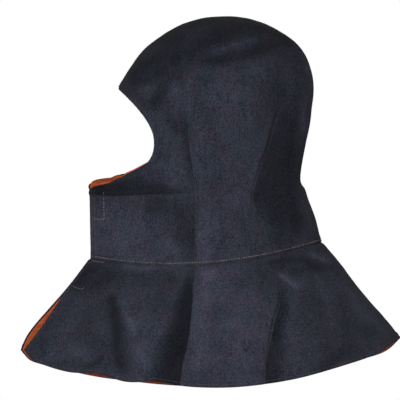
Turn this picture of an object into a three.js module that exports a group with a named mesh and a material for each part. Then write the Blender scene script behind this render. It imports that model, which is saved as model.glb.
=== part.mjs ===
// A welding cap with a neck flap: a denim hood with an orange cotton lining, sewn from a left and a right
// panel, open at the face and down the front, with a flared flap sewn on at the neck seam.
// Millimetres, +Z up, the wearer faces -Y and the wearer's left is +X.
// The origin is where the top of the head touches the lining, under the highest point of the crown.
import * as THREE from "three";

// Cloth
const DENIM = 1.4; // thickness of the outer cloth
const LINING = 1.0; // thickness of the lining
const LAYER_GAP = 0.3; // between the outer cloth, the lining and a tape
const SEAM_GAP = 0.4; // between two pieces that are sewn edge to edge
const LINING_INSET = 2.5; // how far the lining stops short of a free edge
const TAPE = 1.2; // thickness of the closure tapes

// Hood, as the outside of the cloth
const BROW_REACH = 129; // crown axis to the brow point
const BROW_DROP = 86; // crown to the brow point
const BACK_REACH = 105; // crown axis to the back of the head
const BACK_DROP = 91; // crown to the back of the head
const NAPE_REACH = 91; // crown axis to the notch at the nape
const NAPE_DROP = 194; // crown to that notch
const HEAD_BREADTH = 176;
const NECK_BREADTH = 152;
const NECK_BACK_REACH = 115; // crown axis to the back end of the neck seam
const NECK_BACK_DROP = 269;
const NECK_FRONT_REACH = 162; // crown axis to the front end of the neck seam
const NECK_FRONT_DROP = 289;
const NECK_SEAM_SAG = 18; // how far the seam dips at the sides below its two ends
const SEAM_RIDGE = 12; // degrees: how far the centre seam stands up from a round crown
const SIDE_FLATNESS = 0.8; // 1 is an ellipse in plan, and less has flatter sides

// Face opening and front edges
const FACE_DEPTH = 43; // brow point back to the cheek
const CHEEK_DROP = 70; // brow point down to the cheek
const FACE_BREADTH = 142;
const CHIN_REACH = 164; // crown axis to the chin corner
const CHIN_DROP = 208; // crown to the chin corner
const FRONT_GAP = 20; // between the two front edges, which hang open
const CHIN_ROLL = 4; // how far the edge under the chin leans inwards
const RIGHT_CHIN_LIFT = 7; // how much higher the right edge hangs under the chin
const RIGHT_CHEEK_DROP = 3; // and how much lower at the cheek

// Neck flap
const FLAP_DROP = 146; // neck seam to hem at the sides
const HEM_FRONT_REACH = 246; // crown axis to the front corner of the hem
const HEM_BACK_REACH = 209; // crown axis to the back corner of the hem
const HEM_BREADTH = 272;
const HEM_FRONT_GAP = 58; // between the two front corners
const SHOULDER = 2.1; // how fast the flap swings out under the seam
const HEM_UNEVEN = 6; // the most that the right hem hangs below the left one
const RIGHT_EDGE_FORWARD = 6.5; // how far the flap's right front edge bows forwards
const LEFT_EDGE_BACK = 5; // how far the left one falls back, down to its corner
const FLAP_FOLD = 13; // depth of the deepest fold at the hem

// Closure tapes
const TAPE_WIDTH = 20;
const TAPE_MARGIN = 3; // tape to the front edge, to the chin corner or to the neck seam
const LOWER_TAPE_INSET = 5; // the lower tape to its front edge
const UPPER_TAPE_LENGTH = 36;
const LOWER_TAPE_LENGTH = 40;

// Mesh
const HOOD_STEPS_PER_SECTION = 2;
const HOOD_COLUMNS = 13;
const FLAP_ROWS = 7;
const FLAP_COLUMNS = 30;

const WALL = DENIM + LAYER_GAP + LINING; // outside of the denim to the inside of the lining

// Anchors of the hood's outline from the side, as [y, z]
const BROW = [-BROW_REACH, WALL - BROW_DROP];
const CROWN = [0, WALL];
const BACK = [BACK_REACH, WALL - BACK_DROP];
const NAPE = [NAPE_REACH, WALL - NAPE_DROP];
const REAR = [NECK_BACK_REACH, WALL - NECK_BACK_DROP]; // back end of the neck seam
const CHEEK = [-BROW_REACH + FACE_DEPTH, WALL - BROW_DROP - CHEEK_DROP];
const CHIN = [-CHIN_REACH, WALL - CHIN_DROP];
const THROAT = [-NECK_FRONT_REACH, WALL - NECK_FRONT_DROP]; // front end of the neck seam

// The hood's sections fan out from the brow point, where both ends meet, over the crown to the neck seam.
// seam and edge are the section's two ends: [from, to, share of the way in y, share of the way in z].
// half is the widest half-breadth, as a share of half the head's breadth, or further down of half the neck's.
// widest is where along the section that is, and cheek is the share of half the face opening at the edge.
const SECTIONS = [
  { seam: [BROW, CROWN, 0, 0], edge: [BROW, CHEEK, 0, 0], half: 0, widest: 1, cheek: 0 },
  { seam: [BROW, CROWN, 0.11, 0.28], edge: [BROW, CHEEK, 0.25, 0.16], half: 0.34, widest: 0.95, cheek: 0.4 },
  { seam: [BROW, CROWN, 0.29, 0.61], edge: [BROW, CHEEK, 0.55, 0.37], half: 0.6, widest: 0.86, cheek: 0.7 },
  { seam: [BROW, CROWN, 0.62, 0.91], edge: [BROW, CHEEK, 0.8, 0.58], half: 0.79, widest: 0.74, cheek: 0.89 },
  { seam: [BROW, CROWN, 1, 1], edge: [BROW, CHEEK, 0.96, 0.79], half: 0.92, widest: 0.63, cheek: 0.98 },
  { seam: [CROWN, BACK, 0.43, 0.07], edge: [BROW, CHEEK, 1, 1], half: 0.98, widest: 0.55, cheek: 1 },
  { seam: [CROWN, BACK, 0.8, 0.36], edge: [CHEEK, CHIN, 0.04, 0.25], half: 1, widest: 0.5, cheek: 0.98 },
  { seam: [CROWN, BACK, 0.96, 0.68], edge: [CHEEK, CHIN, 0.15, 0.46], half: 1, widest: 0.47, cheek: 0.92 },
  { seam: [CROWN, BACK, 1, 1], edge: [CHEEK, CHIN, 0.34, 0.63], half: 0.99, widest: 0.45, cheek: 0.79 },
  { seam: [BACK, NAPE, 0.25, 0.35], edge: [CHEEK, CHIN, 0.57, 0.76], half: 0.96, widest: 0.44, cheek: 0.6 },
  { seam: [BACK, NAPE, 0.64, 0.65], edge: [CHEEK, CHIN, 0.8, 0.92], half: 0.94, widest: 0.42, cheek: 0.34 },
  { seam: [BACK, NAPE, 1, 1], edge: [CHEEK, CHIN, 1, 1], half: 0.93, widest: 0.42, cheek: 0 },
  { seam: [NAPE, REAR, 0.21, 0.17], edge: [CHIN, THROAT, 0.35, 0.12], half: 0.93, widest: 0.42, cheek: 0 },
  { seam: [NAPE, REAR, 0.37, 0.35], edge: [CHIN, THROAT, 0.5, 0.27], half: 0.94, widest: 0.42, cheek: 0 },
  { seam: [NAPE, REAR, 0.66, 0.59], edge: [CHIN, THROAT, 0.65, 0.51], half: 0.96, widest: 0.43, cheek: 0 },
  { seam: [NAPE, REAR, 0.82, 0.82], edge: [CHIN, THROAT, 0.8, 0.75], half: 0.98, widest: 0.43, cheek: 0 },
  { seam: [NAPE, REAR, 1, 1], edge: [CHIN, THROAT, 1, 1], half: 1, widest: 0.43, cheek: 0 },
];
const LAST_SECTION = SECTIONS.length - 1;
const CHEEK_SECTION = SECTIONS.findIndex((row) => row.edge[1] === CHIN); // the first one below the cheek
const CHIN_SECTION = SECTIONS.findIndex((row) => row.edge[1] === THROAT) - 1; // it ends at the chin corner

// Dents and folds of the hood. from and to are [y, z] as shares of the back's reach and of the neck seam's drop
// at the back. width is a share of that reach, behind and in front of a line that runs down, or above and below
// one that runs back. depth is a share of the head's half-breadth, inwards.
const HOOD_DENTS = [
  { name: "nape hollow", from: [0.66, -0.33], to: [0.62, -0.8], width: [0.28, 0.42], depth: 0.13 },
  { name: "crown trough", from: [-0.5, -0.2], to: [0.72, -0.11], width: [0.12, 0.14], depth: 0.03 },
  { name: "brow hollow", from: [-0.95, -0.3], to: [-0.42, -0.26], width: [0.16, 0.16], depth: 0.03 },
  { name: "cheek crease", from: [-0.47, -0.3], to: [-0.34, -1.0], width: [0.06, 0.24], depth: 0.03 },
];

// The left hem from the back seam to the front edge: where it is, how far it lies below the neck seam's lowest
// level as a share of the flap's drop, and its half-breadth as a share of half the hem's breadth. lower is how
// far the right hem hangs below it there, as a share of the hems' unevenness.
const HEM = [
  { at: 0, drop: 0.6, half: 0, lower: 0 },
  { at: 0.03, drop: 0.665, half: 0.24, lower: 0.7 },
  { at: 0.064, drop: 0.735, half: 0.4, lower: 0.2 },
  { at: 0.185, drop: 0.86, half: 0.74, lower: -0.3 },
  { at: 0.29, drop: 0.945, half: 0.89, lower: -0.3 },
  { at: 0.425, drop: 1.003, half: 0.985, lower: -0.3 },
  { at: 0.55, drop: 1.003, half: 1, lower: -0.1 },
  { at: 0.645, drop: 0.96, half: 0.96, lower: 0.5 },
  { at: 0.72, drop: 0.962, half: 0.87, lower: -0.2 },
  { at: 0.795, drop: 0.897, half: 0.75, lower: 0.65 },
  { at: 0.87, drop: 0.884, half: 0.56, lower: -0.2 },
  { at: 0.955, drop: 0.815, half: 0.26, lower: -0.1 },
  { at: 0.98, drop: 0.777, half: 0.12, lower: 0 },
  { at: 1, drop: 0.705, half: 0, lower: 0 },
];

// Folds of the flap, on the left and on the right. from and to are [share of the way from back to front, share
// of the way down], width is a share of the way round at the hem, on the back and on the front side of the
// line, and depth is a share of the deepest fold, inwards.
const FLAP_FOLDS = {
  left: [
    { name: "front fold", from: [0.87, 0.12], to: [0.735, 1], width: [0.05, 0.1], depth: 0.55 },
    { name: "middle fold", from: [0.555, 0.1], to: [0.6, 1], width: [0.045, 0.12], depth: 1 },
    { name: "rear fold", from: [0.2, 0.1], to: [0.345, 1], width: [0.11, 0.085], depth: 0.58 },
    { name: "back fold", from: [0.1, 0.2], to: [0.17, 1], width: [0.05, 0.06], depth: 0.4 },
  ],
  right: [
    { name: "front fold", from: [0.85, 0.15], to: [0.77, 1], width: [0.06, 0.09], depth: 0.55 },
    { name: "middle fold", from: [0.5, 0.12], to: [0.53, 1], width: [0.04, 0.11], depth: 0.9 },
    { name: "rear fold", from: [0.24, 0.1], to: [0.3, 1], width: [0.09, 0.07], depth: 0.7 },
  ],
};

const lerp = (a, b, k) => a + (b - a) * k;
const clamp01 = (k) => Math.min(1, Math.max(0, k));
const ease = (k) => clamp01(k) ** 2 * (3 - 2 * clamp01(k));
const ramp = (value, from, to) => ease((value - from) / (to - from));

// A smooth curve through values at the knots 0, 1, 2 and so on.
function through(values, t) {
  const i = Math.min(values.length - 2, Math.floor(t));
  const at = (k) => values[Math.min(values.length - 1, Math.max(0, k))];
  return hermite(at(i), at(i + 1), (at(i + 1) - at(i - 1)) / 2, (at(i + 2) - at(i)) / 2, t - i);
}

// The same through the column of a table whose rows say where they are.
function column(table, name, at) {
  let i = 0;
  while (i < table.length - 2 && table[i + 1].at < at) i++;
  const row = (k) => table[Math.min(table.length - 1, Math.max(0, k))];
  const slope = (k) => (row(k + 1)[name] - row(k - 1)[name]) / (row(k + 1).at - row(k - 1).at);
  const span = row(i + 1).at - row(i).at;
  return hermite(row(i)[name], row(i + 1)[name], slope(i) * span, slope(i + 1) * span, (at - row(i).at) / span);
}

function hermite(a, b, slopeA, slopeB, k) {
  const stay = (1 + 2 * k) * (1 - k) ** 2;
  return a * stay + b * (1 - stay) + slopeA * k * (1 - k) ** 2 - slopeB * (1 - k) * k ** 2;
}

// How deep a dent or fold is at a place, from 0 off it to 1 on its line.
function furrow({ from, to, width }, place, widen) {
  const run = [to[0] - from[0], to[1] - from[1]];
  const length = Math.hypot(...run);
  const off = [place[0] - from[0], place[1] - from[1]];
  const along = (off[0] * run[0] + off[1] * run[1]) / length;
  const across = (off[0] * run[1] - off[1] * run[0]) / length;
  const past = Math.max(0, -along, along - length);
  const reach = width[across < 0 ? 0 : 1] * widen(clamp01(along / length));
  return 1 - ease(Math.hypot(across / reach, past / Math.max(...width)));
}

// One end of a section, as [y, z], from the part of the table that says where it lies between two anchors.
const endOf = ([from, to, y, z]) => [lerp(from[0], to[0], y), lerp(from[1], to[1], z)];
const SEAM_ENDS = SECTIONS.map((row) => endOf(row.seam));
const EDGE_ENDS = SECTIONS.map((row) => endOf(row.edge));

// The outside of the hood. t is the section, from the brow to the neck seam, s runs from the centre seam at 0
// to the free edge at 1, and side is 1 on the left and -1 on the right.
function hood(t, s, side) {
  const value = (name) => through(SECTIONS.map((row) => row[name]), t);
  const seam = [0, 1].map((k) => through(SEAM_ENDS.map((p) => p[k]), t));
  const edge = [0, 1].map((k) => through(EDGE_ENDS.map((p) => p[k]), t));
  const atChin = ramp(t, CHIN_SECTION - 3, CHIN_SECTION - 1.8) * ramp(t, LAST_SECTION, CHIN_SECTION);
  const atCheek = ramp(t, CHEEK_SECTION - 0.5, CHEEK_SECTION + 1.2) * ramp(t, CHIN_SECTION - 2.1, CHIN_SECTION - 3);
  if (side < 0) edge[1] += RIGHT_CHIN_LIFT * atChin - RIGHT_CHEEK_DROP * atCheek;

  // The section leaves the centre seam at the ridge's angle, swells to its widest and closes in to the edge.
  const neck = ramp(t, CHIN_SECTION - 3, CHIN_SECTION + 3);
  const gap = ramp(t, CHIN_SECTION - 3, CHIN_SECTION) * FRONT_GAP;
  const edgeHalf = (value("cheek") * FACE_BREADTH + gap) / 2;
  const half = Math.max((value("half") * lerp(HEAD_BREADTH, NECK_BREADTH, neck)) / 2, edgeHalf);
  const widest = value("widest");
  const split = widest ** 0.8; // the s where it is widest
  const ridge = THREE.MathUtils.degToRad(SEAM_RIDGE);
  const low = Math.sin(ridge) ** SIDE_FLATNESS;
  const turn = lerp(ridge, Math.PI / 2, Math.min(1, s / split));
  const rest = split < 1 ? Math.max(0, (s - split) / (1 - split)) : 0;
  const way = s < split ? widest * (1 - Math.cos(turn) / Math.cos(ridge)) : lerp(widest, 1, rest);
  const swell = (half * (Math.sin(turn) ** SIDE_FLATNESS - low)) / (1 - low);
  const x = s < split ? swell : lerp(half, edgeHalf, rest ** 2.2);

  const sag = NECK_SEAM_SAG * clamp01((t - CHIN_SECTION + 1) / (LAST_SECTION - CHIN_SECTION + 1)) ** 2;
  const y = lerp(seam[0], edge[0], way);
  const z = lerp(seam[1], edge[1], way) - sag * 4 * way * (1 - way);
  const underChin = ramp(t, CHEEK_SECTION, CHIN_SECTION - 2) * ramp(t, CHIN_SECTION + 0.8, CHIN_SECTION);
  const inwards = hoodRelief(y, z) * ramp(x, 0, HEAD_BREADTH / 4) + CHIN_ROLL * underChin * ramp(s, 0.8, 1);
  return new THREE.Vector3((x - inwards) * side, y, z);
}

// How far the hood's dents draw the cloth in.
function hoodRelief(y, z) {
  const at = [y / BACK_REACH, (z - WALL) / NECK_BACK_DROP];
  const shares = HOOD_DENTS.map((dent) => dent.depth * furrow(dent, at, () => 1));
  return (shares.reduce((sum, share) => sum + share) * HEAD_BREADTH) / 2;
}

// The outside of the flap. around runs from the back seam at 0 to the front edge at 1, and down from the neck
// seam at 0 to the hem at 1.
function flap(around, down, side) {
  const top = hood(LAST_SECTION, around, side);
  const way = (REAR[0] - top.y) / (REAR[0] - THROAT[0]); // share of the way to the front
  const lowest = (REAR[1] + THROAT[1]) / 2 - NECK_SEAM_SAG;
  const lower = side < 0 ? column(HEM, "lower", way) * HEM_UNEVEN : 0;
  const hem = {
    x: (column(HEM, "half", way) * HEM_BREADTH + ramp(way, 0.9, 1) * HEM_FRONT_GAP) / 2,
    y: lerp(HEM_BACK_REACH, -HEM_FRONT_REACH, way),
    z: lowest - FLAP_DROP * column(HEM, "drop", way) - lower,
  };
  const x = lerp(Math.abs(top.x), hem.x, 1 - (1 - down) ** SHOULDER);
  const inwards = flapRelief(way, down, side) * ramp(x, 0, HEAD_BREADTH / 4);
  const forward = RIGHT_EDGE_FORWARD * Math.sin(Math.PI * down ** 2.6);
  const bow = side < 0 ? forward : -LEFT_EDGE_BACK * ramp(down, 0.2, 0.8);
  const y = lerp(top.y, hem.y, down) - bow * ramp(way, 0.85, 1);
  return new THREE.Vector3((x - inwards) * side, y, lerp(top.z - SEAM_GAP, hem.z, down));
}

// How far the flap's folds draw the cloth in. They start narrow and shallow under the neck seam.
function flapRelief(way, down, side) {
  const folds = FLAP_FOLDS[side > 0 ? "left" : "right"];
  const widen = (k) => lerp(0.35, 1, k);
  const shares = folds.map((fold) => fold.depth * furrow(fold, [way, down], widen));
  return FLAP_FOLD * down ** 0.8 * shares.reduce((sum, share) => sum + share);
}

// A grid of nodes over a surface(u, v), with u and v from 0 to 1. Each node has its place and the way out of
// the cloth there, so that layers of cloth on one grid lie evenly on each other.
function weave(surface, side, rows, columns) {
  const shares = (count) => Array.from({ length: count + 1 }, (_, k) => k / count);
  const node = (u, v) => ({ place: surface(u, v), out: new THREE.Vector3() });
  const grid = shares(rows).map((u) => shares(columns).map((v) => node(u, v)));
  const corner = (a, b, c) => {
    const out = b.place.clone().sub(a.place).cross(c.place.clone().sub(a.place)).multiplyScalar(side);
    for (const each of [a, b, c]) each.out.add(out);
  };
  for (let i = 0; i < rows; i++)
    for (let j = 0; j < columns; j++) {
      corner(grid[i][j], grid[i][j + 1], grid[i + 1][j + 1]);
      corner(grid[i][j], grid[i + 1][j + 1], grid[i + 1][j]);
    }
  if (isPoint(grid[0])) {
    const out = grid[0].reduce((sum, each) => sum.add(each.out), new THREE.Vector3());
    for (const each of grid[0]) each.out.copy(out);
  }
  for (const each of grid.flat()) each.out.normalize();
  return grid;
}

const apart = (a, b) => a.place.distanceTo(b.place);
const isPoint = (row) => apart(row[0], row.at(-1)) < 1;

// A node between two others.
const between = (a, b, k) => ({
  place: a.place.clone().lerp(b.place, k),
  out: a.out.clone().lerp(b.out, k).normalize(),
});

// The same grid with its last row or its last column drawn in from a free edge by an inset.
const drawnIn = (last, before, inset) => between(last, before, Math.min(0.8, inset / apart(last, before)));
const shortColumns = (grid, inset) =>
  grid.map((row) => (isPoint(row) ? row : [...row.slice(0, -1), drawnIn(row.at(-1), row.at(-2), inset)]));
const shortRows = (grid, inset) =>
  [...grid.slice(0, -1), grid.at(-1).map((node, j) => drawnIn(node, grid.at(-2)[j], inset))];

// The part of a grid from one row to another, which may be fractions, and within two distances of its last
// column. It keeps the grid's own lines, so that it lies flat on it.
function patchOf(grid, fromRow, toRow, nearest, furthest) {
  const stops = (from, to, line) => [from, ...[...line.keys()].filter((k) => k > from && k < to), to];
  const nodeAt = (line, at) => between(line[Math.floor(at)], line[Math.ceil(at)], at % 1);
  const lines = grid[0].map((_, j) => grid.map((row) => row[j]));
  const rows = stops(fromRow, toRow, grid).map((at) => lines.map((line) => nodeAt(line, at)));
  const middle = rows[Math.floor(rows.length / 2)].toReversed();
  const [near, far] = [nearest, furthest].map((reach) => middle.length - 1 - placeAlong(middle, 0, reach));
  return rows.map((row) => stops(far, near, row).map((at) => nodeAt(row, at)));
}

// The place in a line of nodes, as a fraction, that lies so far past another one.
function placeAlong(line, start, distance) {
  let left = distance;
  let i = start;
  while (i < line.length - 2 && left > apart(line[i], line[i + 1])) {
    left -= apart(line[i], line[i + 1]);
    i++;
  }
  return i + left / apart(line[i], line[i + 1]);
}

// A closed layer of cloth between two depths under a grid. A row whose nodes all meet becomes one point.
// Nothing crosses the middle plane.
function layer(grid, side, from, to) {
  const [rows, columns] = [grid.length - 1, grid[0].length - 1];
  const pointed = isPoint(grid[0]);
  const positions = [from, to].flatMap((depth) =>
    grid.flat().flatMap(({ place, out }) => {
      const p = place.clone().addScaledVector(out, -depth);
      return [Math.max(p.x * side, SEAM_GAP / 2) * side, p.y, p.z];
    }),
  );
  const faces = [];
  const id = (depth, i, j) => (depth * (rows + 1) + i) * (columns + 1) + (pointed && i === 0 ? 0 : j);
  const face = (a, b, c) => {
    if (new Set([a, b, c]).size === 3) faces.push(...(side > 0 ? [a, b, c] : [a, c, b]));
  };
  const quad = (a, b, c, d) => {
    face(a, b, c);
    face(a, c, d);
  };
  for (let i = 0; i < rows; i++)
    for (let j = 0; j < columns; j++) {
      quad(id(0, i, j), id(0, i, j + 1), id(0, i + 1, j + 1), id(0, i + 1, j));
      quad(id(1, i + 1, j + 1), id(1, i, j + 1), id(1, i, j), id(1, i + 1, j));
    }
  for (let i = 0; i < rows; i++) {
    quad(id(0, i, 0), id(0, i + 1, 0), id(1, i + 1, 0), id(1, i, 0));
    quad(id(0, i + 1, columns), id(0, i, columns), id(1, i, columns), id(1, i + 1, columns));
  }
  for (let j = 0; j < columns; j++) {
    quad(id(0, 0, j + 1), id(0, 0, j), id(1, 0, j), id(1, 0, j + 1));
    quad(id(0, rows, j), id(0, rows, j + 1), id(1, rows, j + 1), id(1, rows, j));
  }
  const used = [...new Set(faces)];
  const renumber = new Map(used.map((old, k) => [old, k]));
  const geometry = new THREE.BufferGeometry();
  const corners = used.flatMap((k) => positions.slice(3 * k, 3 * k + 3));
  geometry.setAttribute("position", new THREE.Float32BufferAttribute(corners, 3));
  geometry.setIndex(faces.map((k) => renumber.get(k)));
  geometry.computeVertexNormals();
  return geometry;
}

const denim = new THREE.MeshStandardMaterial({ color: 0x33343f, roughness: 0.92, metalness: 0 });
const cotton = new THREE.MeshStandardMaterial({ color: 0xd0612a, roughness: 0.85, metalness: 0 });
const nylon = new THREE.MeshStandardMaterial({ color: 0x1c1c20, roughness: 0.8, metalness: 0 });

const cap = new THREE.Group();

function add(name, geometry, material) {
  const mesh = new THREE.Mesh(geometry, material);
  mesh.name = name;
  cap.add(mesh);
}

for (const [word, side] of [["left", 1], ["right", -1]]) {
  const hoodRows = LAST_SECTION * HOOD_STEPS_PER_SECTION;
  const hoodGrid = weave((u, v) => hood(u * LAST_SECTION, v, side), side, hoodRows, HOOD_COLUMNS);
  const flapGrid = weave((u, v) => flap(v, u, side), side, FLAP_ROWS, FLAP_COLUMNS);
  add(`hood_panel_${word}`, layer(hoodGrid, side, 0, DENIM), denim);
  add(`flap_panel_${word}`, layer(flapGrid, side, 0, DENIM), denim);

  // The lining lies inside the denim and stops short of each free edge.
  const inside = DENIM + LAYER_GAP;
  const flapLining = shortRows(shortColumns(flapGrid, LINING_INSET), LINING_INSET);
  add(`hood_lining_${word}`, layer(shortColumns(hoodGrid, LINING_INSET), side, inside, WALL), cotton);
  add(`flap_lining_${word}`, layer(flapLining, side, inside, WALL), cotton);

  // The hook tapes are sewn inside the left front edge, and the loop tapes outside the right one.
  const [kind, depth] = side > 0 ? ["hook", WALL + LAYER_GAP] : ["loop", -LAYER_GAP - TAPE];
  for (const [at, grid, start, length, inset] of [
    ["upper", hoodGrid, CHIN_SECTION * HOOD_STEPS_PER_SECTION, UPPER_TAPE_LENGTH, TAPE_MARGIN],
    ["lower", flapGrid, 0, LOWER_TAPE_LENGTH, LOWER_TAPE_INSET],
  ]) {
    const edge = grid.map((row) => row.at(-1));
    const first = placeAlong(edge, start, TAPE_MARGIN);
    const last = placeAlong(edge, start, TAPE_MARGIN + length);
    const patch = patchOf(grid, first, last, inset, inset + TAPE_WIDTH);
    add(`${kind}_tape_${at}`, layer(patch, side, depth, depth + TAPE), nylon);
  }
}

export default cap;
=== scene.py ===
"""A denim welding cap with a neck flap and an orange cotton lining, dressed over its CAD frame.

The cloth is worked out in millimetres, as in the part's own source, and turned into metres as each mesh
is made. +Z is up, the wearer faces -Y and the wearer's left is +X.
"""

import math

import bpy
import numpy as np
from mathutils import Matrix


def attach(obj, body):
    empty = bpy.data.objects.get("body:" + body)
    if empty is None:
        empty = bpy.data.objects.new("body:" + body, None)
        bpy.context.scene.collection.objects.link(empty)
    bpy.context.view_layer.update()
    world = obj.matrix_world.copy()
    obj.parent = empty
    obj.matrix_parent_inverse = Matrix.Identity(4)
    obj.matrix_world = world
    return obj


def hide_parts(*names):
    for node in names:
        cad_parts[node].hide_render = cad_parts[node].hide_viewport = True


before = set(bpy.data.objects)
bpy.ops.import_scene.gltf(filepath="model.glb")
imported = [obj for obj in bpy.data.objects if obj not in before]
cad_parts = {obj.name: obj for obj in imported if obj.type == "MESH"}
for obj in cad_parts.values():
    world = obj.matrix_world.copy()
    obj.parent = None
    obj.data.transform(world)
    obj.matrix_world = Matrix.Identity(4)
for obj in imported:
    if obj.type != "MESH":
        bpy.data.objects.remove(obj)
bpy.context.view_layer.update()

MM = 0.001


def table(columns, *rows):
    return [dict(zip(columns, row)) for row in rows]


# Cloth
DENIM = 1.4
LINING = 1.0
LAYER_GAP = 0.3
WALL = DENIM + LAYER_GAP + LINING
LINING_INSET = 0.7  # how far the lining stops short of a free edge
HEM_WIDTH = 8.0  # the turned-under cloth along a free edge
HEM_RISE = 0.5  # how much that stands up
TAPE = 1.2

# Hood, as the outside of the cloth
BROW_REACH = 129.0
BROW_DROP = 86.0
BACK_REACH = 105.0
BACK_DROP = 91.0
NAPE_REACH = 91.0
NAPE_DROP = 194.0
HEAD_BREADTH = 176.0
NECK_BREADTH = 152.0
NECK_BACK_REACH = 115.0
NECK_BACK_DROP = 269.0
NECK_FRONT_REACH = 162.0
NECK_FRONT_DROP = 289.0
NECK_SEAM_SAG = 18.0
SEAM_RIDGE = math.radians(12)
SIDE_FLATNESS = 0.8

# Face opening and front edges
FACE_DEPTH = 43.0
CHEEK_DROP = 70.0
FACE_BREADTH = 142.0
CHIN_REACH = 164.0
CHIN_DROP = 208.0
FRONT_GAP = 20.0
CHIN_ROLL = 4.0
RIGHT_CHIN_LIFT = 7.0
RIGHT_CHEEK_DROP = 3.0
RIGHT_FACE_SETBACK = 2.5

# Neck flap
FLAP_DROP = 146.0
HEM_FRONT_REACH = 246.0
HEM_BACK_REACH = 209.0
HEM_BREADTH = 272.0
HEM_FRONT_GAP = 58.0
SHOULDER = 2.1
HEM_UNEVEN = 6.0
RIGHT_EDGE_FORWARD = 6.5
LEFT_EDGE_BACK = 5.0
FLAP_FOLD = 13.0
SEAM_LAP = 2.6  # how far the flap's top edge is tucked up behind the hood's
SEAM_TUCK = 1.5  # and how far it lies under it there

# Closure tapes
TAPE_WIDTH = 20.0
TAPE_MARGIN = 3.0
LOWER_TAPE_INSET = 5.0
UPPER_TAPE_LENGTH = 36.0
LOWER_TAPE_LENGTH = 40.0

# Meshes
HOOD_ROWS = 230
FLAP_ROWS = 100
HOOD_COLUMNS = 160
FLAP_COLUMNS = 210
LINING_STEP = 2  # the lining keeps one in so many of the denim's lines
SEAM_STEPS = (0.0, 0.7, 1.5, 2.4, 3.4, 4.6, 6.0, 7.6)  # finer lines beside a seam, from it inwards
EDGE_STEPS = (0.0, 0.4, 1.0, 1.8, 2.6, 3.4, 4.4, 5.4, 6.4, 7.4, 8.2, 9.2)  # and beside a free edge

# Anchors of the hood's outline from the side, as [y, z]
BROW = (-BROW_REACH, WALL - BROW_DROP)
CROWN = (0.0, WALL)
BACK = (BACK_REACH, WALL - BACK_DROP)
NAPE = (NAPE_REACH, WALL - NAPE_DROP)
REAR = (NECK_BACK_REACH, WALL - NECK_BACK_DROP)
CHEEK = (-BROW_REACH + FACE_DEPTH, WALL - BROW_DROP - CHEEK_DROP)
CHIN = (-CHIN_REACH, WALL - CHIN_DROP)
THROAT = (-NECK_FRONT_REACH, WALL - NECK_FRONT_DROP)

# The hood's sections, as in the part's source: the two ends of each between two anchors, the widest
# half-breadth as a share, where along the section that is, and the share of half the face opening at its edge.
SECTION_COLUMNS = ("seam", "edge", "half", "widest", "cheek")
SECTIONS = table(
    SECTION_COLUMNS,
    ((BROW, CROWN, 0, 0), (BROW, CHEEK, 0, 0), 0, 1, 0),
    ((BROW, CROWN, 0.11, 0.28), (BROW, CHEEK, 0.25, 0.16), 0.34, 0.95, 0.4),
    ((BROW, CROWN, 0.29, 0.61), (BROW, CHEEK, 0.55, 0.37), 0.6, 0.86, 0.7),
    ((BROW, CROWN, 0.62, 0.91), (BROW, CHEEK, 0.8, 0.58), 0.79, 0.74, 0.89),
    ((BROW, CROWN, 1, 1), (BROW, CHEEK, 0.96, 0.79), 0.92, 0.63, 0.98),
    ((CROWN, BACK, 0.43, 0.07), (BROW, CHEEK, 1, 1), 0.98, 0.55, 1),
    ((CROWN, BACK, 0.8, 0.36), (CHEEK, CHIN, 0.04, 0.25), 1, 0.5, 0.98),
    ((CROWN, BACK, 0.96, 0.68), (CHEEK, CHIN, 0.15, 0.46), 1, 0.47, 0.92),
    ((CROWN, BACK, 1, 1), (CHEEK, CHIN, 0.34, 0.63), 0.99, 0.45, 0.79),
    ((BACK, NAPE, 0.25, 0.35), (CHEEK, CHIN, 0.57, 0.76), 0.96, 0.44, 0.6),
    ((BACK, NAPE, 0.64, 0.65), (CHEEK, CHIN, 0.8, 0.92), 0.94, 0.42, 0.34),
    ((BACK, NAPE, 1, 1), (CHEEK, CHIN, 1, 1), 0.93, 0.42, 0),
    ((NAPE, REAR, 0.21, 0.17), (CHIN, THROAT, 0.35, 0.12), 0.93, 0.42, 0),
    ((NAPE, REAR, 0.37, 0.35), (CHIN, THROAT, 0.5, 0.27), 0.94, 0.42, 0),
    ((NAPE, REAR, 0.66, 0.59), (CHIN, THROAT, 0.65, 0.51), 0.96, 0.43, 0),
    ((NAPE, REAR, 0.82, 0.82), (CHIN, THROAT, 0.8, 0.75), 0.98, 0.43, 0),
    ((NAPE, REAR, 1, 1), (CHIN, THROAT, 1, 1), 1, 0.43, 0),
)
LAST_SECTION = len(SECTIONS) - 1
CHEEK_SECTION = 6
CHIN_SECTION = 11

# Dents of the hood, as in the part's source. Widths are behind and in front of a line that runs down, or
# above and below one that runs back.
HOOD_DENTS = [
    dict(name="nape hollow", run=((0.66, -0.33), (0.62, -0.8)), width=(0.28, 0.42), depth=0.13),
    dict(name="crown trough", run=((-0.5, -0.2), (0.72, -0.11)), width=(0.12, 0.14), depth=0.03),
    dict(name="brow hollow", run=((-0.95, -0.3), (-0.42, -0.26)), width=(0.16, 0.16), depth=0.03),
    dict(name="cheek crease", run=((-0.47, -0.3), (-0.34, -1.0)), width=(0.06, 0.24), depth=0.03),
]

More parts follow.
